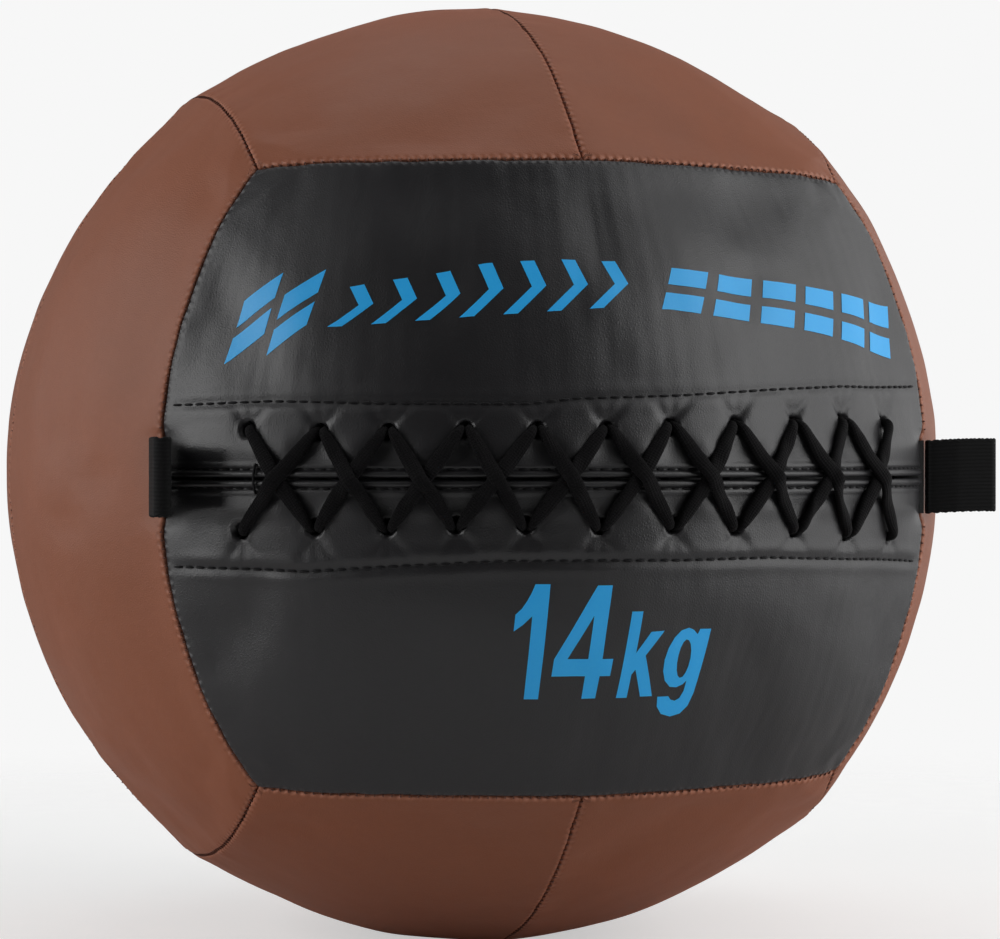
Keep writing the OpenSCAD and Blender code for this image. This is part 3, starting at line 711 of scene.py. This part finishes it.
lipStitch = {"pitch": 3.9, "length": 2.9, "thick": 0.33, "arch": 0.15, "height": 3.2, "lift": 0.12}
lipRows = []
for up in (1, -1):
    turn = np.degrees(np.arange(-0.875, 0.875, lipStitch["pitch"] / radius)) + up * 0.4
    lipRows.append(rowOnFront(up, turn, lambda at: 0 * at + up * lipStitch["height"], lipStitch["lift"]))
stitches("lip_stitches", *map(np.concatenate, zip(*lipRows)), lipStitch["length"], lipStitch, blackThread,
         "thread", "lip_stitching")

# Seam stitches bridge each seam from panel to panel, sunk in its groove
seamStitch = {"pitch": 2.9, "length": 1.5, "thick": 0.3, "arch": 0.2, "sink": 0.62, "clear": 2.5}


# One seam's stitches: the places along an arc of a given radius about a centre, in the plane of two
# directions and as far from its middle as reach, and the direction across the seam at each
def seamArc(centre, size, toMiddle, aside, reach):
    reach -= seamStitch["clear"] / size
    turn = np.arange(-reach, reach, seamStitch["pitch"] / size)[:, None]
    normal = (centre + size * (np.cos(turn) * toMiddle + np.sin(turn) * aside)) / radius
    tangent = -np.sin(turn) * toMiddle + np.cos(turn) * aside
    return normal * (radius + stance(normal)[:, None] - seamStitch["sink"]), np.cross(normal, tangent)


# The twelve outer seams lie on the leaning planes at the pairs' ends, and five pairs have a plain middle seam
seams = []
arcRadius = math.sqrt(radius ** 2 - seamD ** 2)
for pair, (out, across, _) in pairs.items():
    out, across = np.array(out, float), np.array(across, float)
    third = np.cross(across, out)
    for sign in (-1, 1):
        axis = out * math.cos(tilt) - third * sign * math.sin(tilt)
        toMiddle = third * sign * math.cos(tilt) + out * math.sin(tilt)
        seams.append(seamArc(axis * seamD, arcRadius, toMiddle, across, math.asin(seamC / arcRadius)))
    if pair != "front":
        seams.append(seamArc(0, radius, out, third, halfSpan))
places, acrosses = map(np.concatenate, zip(*seams))
# None where the ball stands or under the webbing
keep = (places[:, 2] > -centreZ + 1.5) & (drawnIn(places / radius) < 0.5 * ball["drawnIn"])
stitches("seam_stitches", places[keep], acrosses[keep], seamStitch["length"], seamStitch, seamThread,
         "seam_thread", "seam_threads")
print("stitches made")

# ---- prints ----
ink = {"lift": 0.13, "depth": 0.3, "slant": 2.2}     # mm over the cover, mm of the film, degrees of lean


# A film on the cover: triangles on its top, the same below and turned round, and a wall along every edge
# that only one triangle has
def inkFilm(name, half, degrees, z, triangles):
    top = onFront(half, degrees, z, ink["lift"])
    under = top * (1 - ink["depth"] / radius)
    edges = np.concatenate([triangles[:, [0, 1]], triangles[:, [1, 2]], triangles[:, [2, 0]]])
    key = np.sort(edges, axis=1) @ np.array([len(top), 1])
    _, first, count = np.unique(key, return_index=True, return_counts=True)
    rim = edges[first[count == 1]]
    walls = np.concatenate([np.stack([rim[:, 1], rim[:, 0], rim[:, 0] + len(top)], -1),
                            np.stack([rim[:, 1], rim[:, 0] + len(top), rim[:, 1] + len(top)], -1)])
    piece = makePiece(name, np.concatenate([top, under]),
                      np.concatenate([triangles, triangles[:, ::-1] + len(top), walls]), printInk)
    piece.data.set_sharp_from_angle(angle=0.7)
    seat(piece, "ball", "black_cover")


# Four-cornered patches, each a small grid blended between its corners (in shares of a tile)
chevron = [((0, 1), (0.42, 1), (1, 0.5), (0.58, 0.5)), ((0.58, 0.5), (1, 0.5), (0.42, 0), (0, 0))]
slitBlock = [((0, 0.6), (0.9, 0.6), (0.9, 1), (0, 1)), ((0, 0), (0.9, 0), (0.9, 0.4), (0, 0.4))]
slantedBars = [((0, 0.42), (1, 0.7), (1, 1), (0, 0.72)), ((0, 0), (1, 0.28), (1, 0.58), (0, 0.3))]
patchSide = 8


# Rows of tiles along the cover: each tile's patches go from shares of the tile to angle and height,
# between the row's lower and upper line, leaning by the slant
def inkRow(name, tile, count, startAngle, stopAngle, low, high, gap):
    width = (stopAngle - startAngle + gap) / count - gap
    s, t = np.meshgrid(*[np.linspace(0, 1, patchSide)] * 2, indexing="ij")
    cells = gridFaces(patchSide, patchSide)
    cells = np.concatenate([cells[:, [0, 1, 2]], cells[:, [0, 2, 3]]])
    degrees, heights, triangles = [], [], []
    for k in range(count):
        for corners in tile:
            c = np.array(corners, float)
            spot = (c[0] * ((1 - s) * (1 - t))[..., None] + c[1] * (s * (1 - t))[..., None]
                    + c[2] * (s * t)[..., None] + c[3] * ((1 - s) * t)[..., None]).reshape(-1, 2)
            angle = startAngle + k * (width + gap) + spot[:, 0] * width + (spot[:, 1] - 0.5) * ink["slant"]
            floorLine, topLine = np.interp(angle, *low), np.interp(angle, *high)
            area = (c[:, 0] * np.roll(c[:, 1], -1) - np.roll(c[:, 0], -1) * c[:, 1]).sum()
            triangles.append((cells[:, ::-1] if area < 0 else cells) + patchSide ** 2 * len(triangles))
            degrees.append(angle)
            heights.append(floorLine + (topLine - floorLine) * spot[:, 1])
    inkFilm(name, 1, np.concatenate(degrees), np.concatenate(heights), np.concatenate(triangles))


inkRow("print_block", slantedBars, 2, -43.4, -34.0, ((-44, -33), (38.2, 44.5)),
       ((-44, -33), (66.6, 68.8)), 1.2)
inkRow("print_row_one", chevron, 7, -30.9, 3.1, ((-31, -16, 3.2), (50, 53.5, 57.2)),
       ((-31, -14, -5, 3.2), (62.5, 71.3, 72.8, 72.6)), 1.0)
inkRow("print_row_two", slitBlock, 6, 8.0, 46.8, ((8, 30, 42, 47), (56.5, 49.4, 43.5, 41)),
       ((8, 22, 47), (70.8, 67.6, 60)), 1.1)

# The weight mark: the outline and the holes of each sign, in mm along the cover and mm of height
turn = np.radians(np.arange(0, 360, 24))
weightMark = {
    "one": [[(-21, -34.5), (-23.2, -73), (-28.4, -73), (-26.8, -45), (-29.8, -47.8), (-33, -50),
             (-32.5, -44.5), (-30.4, -42.6), (-28.6, -40), (-27.2, -37.4), (-26, -34.5)]],
    "four": [[(-4.8, -35), (0.3, -35), (-1.2, -59.5), (2.8, -59.5), (2.4, -65.3), (-1.5, -65.3), (-2, -73),
              (-7.2, -73), (-6.8, -65.3), (-19, -65.3), (-18.5, -59.5)],
             [(-6.3, -59.5), (-13.8, -59.5), (-5.4, -45)]],
    "thousand": [[(8, -43.8), (12, -43.8), (11.2, -58), (16, -50.8), (21, -50.6), (15, -58.8), (20.2, -72.8),
                  (15.4, -72.8), (11.9, -63.5), (10.6, -65.2), (10.1, -73), (6, -73)]],
    "gram": [[(39.5, -50.4), (35.2, -50.4), (34.4, -52.2), (32.6, -50.6), (30.6, -49.9), (27.8, -50.7),
              (25.4, -53), (23.6, -56.5), (22.7, -60.5), (23, -64.5), (24.4, -67.8), (26.8, -69.9),
              (29.6, -70.2), (32, -69.2), (33.3, -67.9), (33.1, -71.6), (32, -74), (30.2, -74.9),
              (28.3, -74.4), (27.2, -73.2), (22.6, -73.2), (23.2, -76.6), (25.6, -79.2), (29.8, -80.3),
              (33.8, -79.4), (36.4, -76.8), (37.6, -72.5)],
             np.stack([30.5 + 2.6 * np.cos(turn), -60.4 + 6.6 * np.sin(turn)], -1).tolist()],
}


# A flat filled curve through the outlines, cut into 2 mm cells so that it bends with the cover:
# its points, and its triangles all turned the same way
def filledOutline(outlines):
    drawn = bpy.data.curves.new("outline", "CURVE")
    drawn.dimensions, drawn.fill_mode = "2D", "BOTH"
    for outline in outlines:
        spline = drawn.splines.new("POLY")
        spline.points.add(len(outline) - 1)
        flatPoints = [(x, y, 0, 1) for x, y in outline]
        spline.points.foreach_set("co", np.array(flatPoints, float).ravel())
        spline.use_cyclic_u = True
    holder = bpy.data.objects.new("outline", drawn)
    scene.collection.objects.link(holder)
    flat = bpy.data.meshes.new_from_object(holder.evaluated_get(bpy.context.evaluated_depsgraph_get()))
    bm = bmesh.new()
    bm.from_mesh(flat)
    for axis, start, end in ((0, -34, 40), (1, -82, -34)):
        for cut in np.arange(start, end, 2.0):
            at, way = [0, 0, 0], [0, 0, 0]
            at[axis], way[axis] = cut, 1
            everything = bm.verts[:] + bm.edges[:] + bm.faces[:]
            bmesh.ops.bisect_plane(bm, geom=everything, plane_co=at, plane_no=way)
    bmesh.ops.remove_doubles(bm, verts=bm.verts, dist=1e-4)
    bmesh.ops.triangulate(bm, faces=bm.faces[:])
    bm.verts.index_update()
    spots = np.array([v.co[:2] for v in bm.verts])
    triangles = np.array([[v.index for v in f.verts] for f in bm.faces])
    bm.free()
    bpy.data.objects.remove(holder)
    bpy.data.meshes.remove(flat)
    bpy.data.curves.remove(drawn)
    one, two, three = (spots[triangles[:, k]] for k in range(3))
    (ax, ay), (bx, by) = (two - one).T, (three - one).T
    area = ax * by - bx * ay
    return spots, np.where(area[:, None] < 0, triangles[:, ::-1], triangles)[np.abs(area) > 1e-9]


for name, outlines in weightMark.items():
    spots, triangles = filledOutline(outlines)
    inkFilm("print_" + name, -1, spots[:, 0] / cover["frontDegree"], spots[:, 1], triangles)
print("prints made")

# ---- the lace ----
lace = {
    "width": 5.2, "thick": 2.7, "sides": 16,
    "lowLift": 2.25,          # middle of the lower strand over the cover, where it crosses the lips
    "overlap": 2.2,           # what the upper strand climbs at each crossing
    "shift": 0.42,            # degrees that a strand leaves each eyelet's middle, so that two share it
    "inside": 5.5,            # depth of the hidden runs behind the cover
    "pieces": 7,              # points of the path from one station to the next
}


# A smooth path through stations (rows of numbers): a Catmull-Rom curve sampled evenly in its parameter
def smoothPath(stations, samples):
    s = np.concatenate([2 * stations[:1] - stations[1:2], stations, 2 * stations[-1:] - stations[-2:-1]])
    t = np.linspace(0, len(stations) - 1 - 1e-9, samples)
    i = t.astype(int)
    f = (t - i)[:, None]
    a, b, c, e = s[i], s[i + 1], s[i + 2], s[i + 3]
    return 0.5 * (2 * b + (c - a) * f + (2 * a - 5 * b + 4 * c - e) * f ** 2
                  + (3 * b - 3 * c + e - a) * f ** 3)


# Lengths along a path of points, from its start
def lengths(path):
    return np.concatenate([[0], np.cumsum(np.linalg.norm(np.diff(path, axis=0), axis=1))])


# Rings of points with their map (mm along, mm across) become a closed tube: the first and last rings are
# added again, drawn together to their middles
def closedTube(name, rings, along, across, material):
    lay = np.stack([along[:, None] + 0 * across[None, :], across[None, :] + 0 * along[:, None]], -1)
    shut = [np.concatenate([rows[:1].mean(axis=1, keepdims=True) + 0 * rows[:1], rows,
                            rows[-1:].mean(axis=1, keepdims=True) + 0 * rows[-1:]]) for rows in (rings, lay)]
    faces = gridFaces(len(along) + 2, len(across), wrap=True)
    return makePiece(name, shut[0], faces, material, uv=shut[1].reshape(-1, 2))


# A flat cord carried along a path: an oval section, its width level with the cover and turned by twist
def flatCord(name, path, width, thick, twist):
    ahead = unit(np.gradient(path, axis=0))
    # In the eyelets the cord runs along the outward direction, so its width is carried on from before
    side = np.cross(unit(path), ahead)
    size = np.linalg.norm(side, axis=1)
    good = np.flatnonzero(size > 0.35)
    side = side / np.maximum(size, 1e-6)[:, None]
    for k in range(3):
        side[:, k] = np.interp(np.arange(len(path)), good, side[good, k])
    side = unit(side - (side * ahead).sum(1)[:, None] * ahead)
    up = np.cross(ahead, side)
    turned = np.cos(twist)[:, None] * side + np.sin(twist)[:, None] * up
    up = -np.sin(twist)[:, None] * side + np.cos(twist)[:, None] * up
    angle = np.arange(lace["sides"]) * 2 * math.pi / lace["sides"]
    wide = np.sign(np.cos(angle)) * np.abs(np.cos(angle)) ** 0.8
    high = np.sign(np.sin(angle)) * np.abs(np.sin(angle)) ** 0.9
    rings = path[:, None, :] + (width / 2)[:, None, None] * wide[None, :, None] * turned[:, None, :] \
        + (thick / 2)[:, None, None] * high[None, :, None] * up[:, None, :]
    run = lengths(path)
    return closedTube(name, rings, run, np.abs(np.sin(angle / 2)) * 7.0, laceBraid), run[-1]


# One strand's stations from an eyelet on one side to the next on the other.
# A station is angle, height, lift over the cover, width, thickness, twist
def strandStations(i, side, over, seed):
    own = np.random.default_rng(seed)
    a, h = eyelets[side][0][i] + lace["shift"], eyelets[side][1][i]
    b, g = eyelets[-side][0][i + 1] - lace["shift"], eyelets[-side][1][i + 1]
    share = np.array([0.0, 0.0, 0.03, 0.14, 0.3, 0.42, 0.5, 0.58, 0.7, 0.86, 0.97, 1.0, 1.0])
    high = lace["lowLift"] + (lace["overlap"] if over else 0.0)
    rise = [-lace["inside"], -1.6, 0.9, 1.3, 1.7, (lace["lowLift"] + high) / 2]
    pinch = [0.42, 0.45, 0.62, 0.86, 1.0, 1.0]
    bulk = [0.9, 1.1, 1.25, 1.1, 1.0, 0.95]
    lift, width, thick = (np.array(first + [top] + first[::-1])
                          for first, top in ((rise, high), (pinch, 0.96), (bulk, 0.9)))
    roll = own.normal(0, 0.2, len(share)) + 0.2 * np.sin(share * 7 + own.uniform(0, 6))
    roll[[0, 1, -2, -1]] = 0
    return np.stack([a + (b - a) * share, h + (g - h) * share, lift, lace["width"] * width,
                     lace["thick"] * thick, roll], -1)


laceLength = {}
for name, side in (("outward", -1), ("return", 1)):
    stations = np.concatenate([strandStations(i, side, (side > 0) != (i == 0), 100 + 20 * i + (side > 0))
                               for i in range(10)])
    fine = smoothPath(stations, len(stations) * lace["pieces"])
    # The lace lies on the settled cover: its height there is taken beside the lips, inside the eyelets
    high = np.linalg.norm(onFront(1, fine[:, 0], np.clip(fine[:, 1], 6, 11.5)), axis=1)
    low = np.linalg.norm(onFront(-1, fine[:, 0], np.clip(fine[:, 1], -11.5, -6)), axis=1)
    bed = low + (high - low) * np.clip((fine[:, 1] + 6) / 12, 0, 1)
    bed = np.convolve(np.pad(bed, 12, mode="edge"), np.ones(25) / 25, mode="valid")
    flat = np.sqrt(np.maximum((bed + fine[:, 2]) ** 2 - fine[:, 1] ** 2, 1))
    turn = np.radians(fine[:, 0])
    path = np.stack([flat * np.sin(turn), -flat * np.cos(turn), fine[:, 1]], -1)
    piece, laceLength[name] = flatCord(name + "_lace", path, fine[:, 3], fine[:, 4], fine[:, 5])
    seat(piece, "ball", "lace", "lace_" + name + "_run")
print("lace made", {k: round(v) for k, v in laceLength.items()})

# ---- loops ----
loop = {
    "width": 26.0, "thick": 1.25, "reach": 26.0,
    "gap": 3.4,               # between its two layers at the tip
    "rootGap": 0.66,          # half of what is between their middles at the seam
    "root": 1.35,             # how far its hinge stands over the plain ball
    "rim": 0.7,               # width of each rounded selvedge
}


# Folded webbing: the middle line leaves the seam, opens, turns round at the tip and comes back;
# carried up and down for the width, then given its thickness by the offset of that line
def webbingLoop(name, sign, turnDegrees, node, bend, stub):
    pivot = radius + loop["root"]
    base = sign * halfSpan - math.pi / 2 + math.radians(turnDegrees)
    origin = np.array([math.sin(sign * halfSpan) * pivot, -math.cos(sign * halfSpan) * pivot])
    forward = np.array([math.cos(base), math.sin(base)])
    aside = np.array([-forward[1], forward[0]])
    half = loop["gap"] / 2 + loop["thick"] / 2
    tip = loop["reach"] - half - loop["thick"] / 2
    out, bow = np.linspace(-stub, tip, 20), np.linspace(math.pi / 2, -math.pi / 2, 15)[1:-1]
    opening = loop["rootGap"] + (half - loop["rootGap"]) * np.clip(out / 10, 0, 1) ** 0.7
    x = np.concatenate([out, tip + half * np.cos(bow), out[::-1]])
    y = np.concatenate([opening, half * np.sin(bow), -opening[::-1]])
    line = smoothPath(np.stack([x, y], -1), 150)
    ahead = unit(np.gradient(line, axis=0))
    normal = np.stack([-ahead[:, 1], ahead[:, 0]], -1)
    run = lengths(line)
    # Section of the webbing: its selvedges are rounder and a little thicker than its flat
    w, t = loop["width"] / 2 - loop["rim"], loop["thick"] / 2
    flatWay, rimTurn = np.linspace(-w, w, 25), np.array([0.5, 1.1, 1.57, 2.04, 2.64])
    rim = w + loop["rim"] * np.sin(rimTurn)
    across = np.concatenate([flatWay, rim, flatWay[::-1], -rim])
    fromLine = np.concatenate([0 * flatWay + t, 1.12 * t * np.cos(rimTurn)])
    fromLine = np.concatenate([fromLine, -fromLine])
    beads = 0.22 * np.sin(run / 1.6 * math.pi)[:, None] * (np.abs(across)[None, :] > w + loop["rim"] - 0.9)
    flat = line[:, None, :] + fromLine[None, :, None] * normal[:, None, :]
    z = across[None, :] + np.sign(across)[None, :] * beads + 0.7 * np.sin(flat[..., 0] / loop["reach"] * 2.0)
    # The loop curls to one side as it goes out, by the square of the way
    curl = bend * np.clip(flat[..., :1] / loop["reach"], 0, 1.2) ** 2
    place = origin + flat[..., :1] * forward + (flat[..., 1:] + curl) * aside
    rings = np.concatenate([place, z[..., None]], -1)
    seat(closedTube(name, rings, run, across, webbingWeave), node, "webbing", node)


# The left loop stands out towards the front and the right one to the side; the last number is how far the
# webbing goes on past its hinge into the seam
webbingLoop("left_webbing_loop", -1, 42.3, "left_loop", 2.4, 0.0)
webbingLoop("right_webbing_loop", 1, 37.7, "right_loop", 0.8, 1.0)
print("loops made")

# ---- padding and facings behind the cover, at the cover's own shape ----


# A slab that follows a surface: the surface moved in by gap, again by gap and thick, joined round its rim.
# crown from 0 to 1 thins it and rounds its sides; punched, if given, is what besideEyelets needs
def slab(name, face, gap, thick, crown, material, punched=None):
    outward = unit(face)
    r, c = face.shape[:2]
    inset = gap + 0.2 * thick * (1 - crown)
    top = face - outward * inset[..., None]
    under = face - outward * (inset + thick * (0.35 + 0.65 * crown))[..., None]
    skin = gridFaces(r, c)
    if punched:
        skin = skin[besideEyelets(face.reshape(-1, 3)[skin].mean(1), *punched)]
    rim = np.concatenate([np.arange(c), np.arange(1, r) * c + c - 1, (r - 1) * c + np.arange(c - 2, -1, -1),
                          np.arange(r - 2, 0, -1) * c])
    ahead = np.roll(rim, -1)
    sides = np.stack([rim, rim + r * c, ahead + r * c, ahead], -1)
    return makePiece(name, np.concatenate([top.reshape(-1, 3), under.reshape(-1, 3)]),
                     np.concatenate([skin, skin[:, ::-1] + r * c, sides]), material)


padding = {"gap": 2.0, "thick": 6.8, "rows": 22, "columns": 56, "besideBand": 34}
for (pair, half), (points, rowPlace, share) in grids.items():
    name = pairs[pair][2][0 if half < 0 else 1]
    edge = len(sewnEdge) + 1
    first = edge if pair != "front" else int(np.searchsorted(rowPlace, padding["besideBand"]))
    rows = np.unique(np.linspace(first, len(rowPlace) - 1 - edge, padding["rows"]).astype(int))
    if half < 0:
        rows = (len(rowPlace) - 1 - rows)[::-1]
    columns = np.unique(np.linspace(edge, len(share) - 1 - edge, padding["columns"]).astype(int))
    y, x = np.meshgrid(np.linspace(-1, 1, len(rows)), np.linspace(-1, 1, len(columns)), indexing="ij")
    crown = (1 - np.maximum(np.abs(x) ** 10, np.abs(y) ** 6)) ** 0.5
    piece = slab(name + "_foam", points[np.ix_(rows, columns)], padding["gap"], padding["thick"],
                 crown, foamPad)
    seat(piece, "ball", "foam", name + "_pad")

facing = {"gap": 1.8, "thick": 1.1, "first": 3.6, "margin": 3.0, "reach": 50.3, "clear": 0.9, "degree": 3.0}
for half, name in ((1, "upper"), (-1, "lower")):
    turn, across = np.meshgrid(np.linspace(-facing["reach"], facing["reach"], 260), np.linspace(0, 1, 34))
    first = half * facing["first"]
    z = first + (bandHeight(half, turn) + half * facing["margin"] - first) * across
    if half < 0:
        turn, z = turn[::-1], z[::-1]
    piece = slab(name + "_facing_strip", onFront(half, turn, z), facing["gap"], facing["thick"],
                 np.ones_like(z), facingTape, (half, facing["degree"], eyelets["bore"] + facing["clear"]))
    seat(piece, "ball", "facing", name + "_facing")
print("pads and facings made")

# ---- the CAD nodes that stay, each with its own finish ----
finishes = {
    "closure_tongue": tongueCloth, "lace_knots": laceEnds,
    "closing_thread": blackThread, "left_loop_tails": webbingTails, "right_loop_tails": webbingTails,
    "inner_bag": linerCloth, "mouth_flap": linerCloth, "lower_packing": offcuts, "upper_packing": offcuts,
    "weight_bag": canvasCloth, "weight_bag_tie": cottonCord, "iron_sand": ironSand,
}
for node, finish in finishes.items():
    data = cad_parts[node].data
    data.materials.clear()
    data.materials.append(finish)
print("finishes set")

# ---- floor, lights and camera ----
scene.view_settings.view_transform = "Standard"

# Matt painted board: flat and pale, fading out into the white of the room well away from the ball.
# Seen straight on it glows a little, and so does the room
studio = {
    "floorRadius": 1.5, "fadeFrom": 0.32, "fadeTo": 0.8, "floorGlow": 0.5,
    "airBehind": 0.20, "airInFront": 0.03, "seenAir": 0.93,
}
floorPaint, paint, coat = newMaterial("matt_floor_paint", {
    "Roughness": 0.8, "Specular IOR Level": 0.2, "Emission Color": (1, 1, 1, 1)})
ground = addNode(paint, "TexCoord").outputs["Object"]
dust = addNode(paint, "TexNoise", {"Vector": ground, "Scale": 60.0, "Detail": 3.0})
tone = addNode(paint, "Mix", {0: dust, 6: linear("#d4d4d4"), 7: linear("#dededd")}, data_type="RGBA")
lit = addNode(paint, "Math", {0: addNode(paint, "LightPath"), 1: studio["floorGlow"]}, operation="MULTIPLY")
away = addNode(paint, "VectorMath", {0: ground}, operation="LENGTH")
fade = addNode(paint, "MapRange", {"Value": away, "From Min": studio["fadeFrom"], "From Max": studio["fadeTo"],
                                   "To Min": 1.0, "To Max": 0.0}, interpolation_type="SMOOTHSTEP")
feed(coat, {"Base Color": tone, "Emission Strength": lit, "Alpha": fade})
bpy.ops.mesh.primitive_circle_add(vertices=96, radius=studio["floorRadius"], fill_type="NGON")
floor = bpy.context.object
floor.name = "studio_floor"
floor.data.materials.append(floorPaint)
floor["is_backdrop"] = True

lights = {
    # name: direction from the front in degrees (to the right), height angle, distance, width, height, power
    "left_back_box": (-120, 15, 1.6, 0.9, 1.2, 4.0),
    "left_soft_box": (-80, 12, 1.5, 0.75, 1.3, 9.8),
    "right_soft_box": (51, 10, 1.6, 0.95, 1.7, 12.2),
    "right_side_box": (85, 8, 1.6, 0.9, 1.7, 6.6),
    "right_back_box": (118, 12, 1.6, 0.9, 1.2, 2.4),
    "right_fill": (24, 18, 1.8, 0.8, 1.2, 0.9),
    "top_right_box": (55, 50, 1.7, 1.0, 1.0, 3.4),
    "top_left_box": (-60, 50, 1.7, 1.0, 1.0, 1.0),
    "top_soft_box": (150, 76, 1.7, 1.6, 1.3, 5.0),
}
aim = Vector((0, 0, 0.17))
for name, (turn, rise, distance, width, height, power) in lights.items():
    lamp = bpy.data.lights.new(name, "AREA")
    lamp.shape, lamp.size, lamp.size_y, lamp.energy = "RECTANGLE", width, height, power
    holder = bpy.data.objects.new(name, lamp)
    scene.collection.objects.link(holder)
    turn, rise = math.radians(turn), math.radians(rise)
    way = Vector((math.sin(turn) * math.cos(rise), -math.cos(turn) * math.cos(rise), math.sin(rise)))
    holder.location = aim + way * distance
    holder.rotation_euler = (-way).to_track_quat("-Z", "Y").to_euler()

# The room: its far side gives some light, its near side hardly any, and straight on it looks white
world = bpy.data.worlds.new("studio_air")
world.use_nodes = True
air = world.node_tree
way = addNode(air, "SeparateXYZ", {"Vector": addNode(air, "TexCoord").outputs["Generated"]})
glow = addNode(air, "MapRange", {"Value": way.outputs["Y"], "From Min": 0.1, "From Max": 0.75,
                                 "To Min": studio["airInFront"], "To Max": studio["airBehind"]},
               interpolation_type="SMOOTHSTEP")
level = addNode(air, "Mix", {0: addNode(air, "LightPath"), 2: glow, 3: studio["seenAir"]}, data_type="FLOAT")
feed(air.nodes["Background"], {"Color": (1, 1, 1, 1), "Strength": level})
scene.world = world

view = {"distance": 1.225, "azimuth": -15.5, "rise": 0.4, "lens": 116.6, "shiftX": 0.0275, "shiftY": 0.006}
lens = bpy.data.cameras.new("main_view")
lens.lens, lens.sensor_width = view["lens"], 36.0
lens.shift_x, lens.shift_y = view["shiftX"], view["shiftY"]
lens.dof.use_dof = False
lens.clip_start, lens.clip_end = 0.01, 100
camera = bpy.data.objects.new("main_view", lens)
scene.collection.objects.link(camera)
a, e = math.radians(view["azimuth"]), math.radians(view["rise"])
middle = Vector((0, 0, centreZ * 0.001))
way = Vector((math.sin(a) * math.cos(e), -math.cos(a) * math.cos(e), math.sin(e)))
camera.location = middle + way * view["distance"]
camera.rotation_euler = (middle - camera.location).to_track_quat("-Z", "Y").to_euler()
scene.camera = camera

low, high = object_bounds()
print("scene ready")
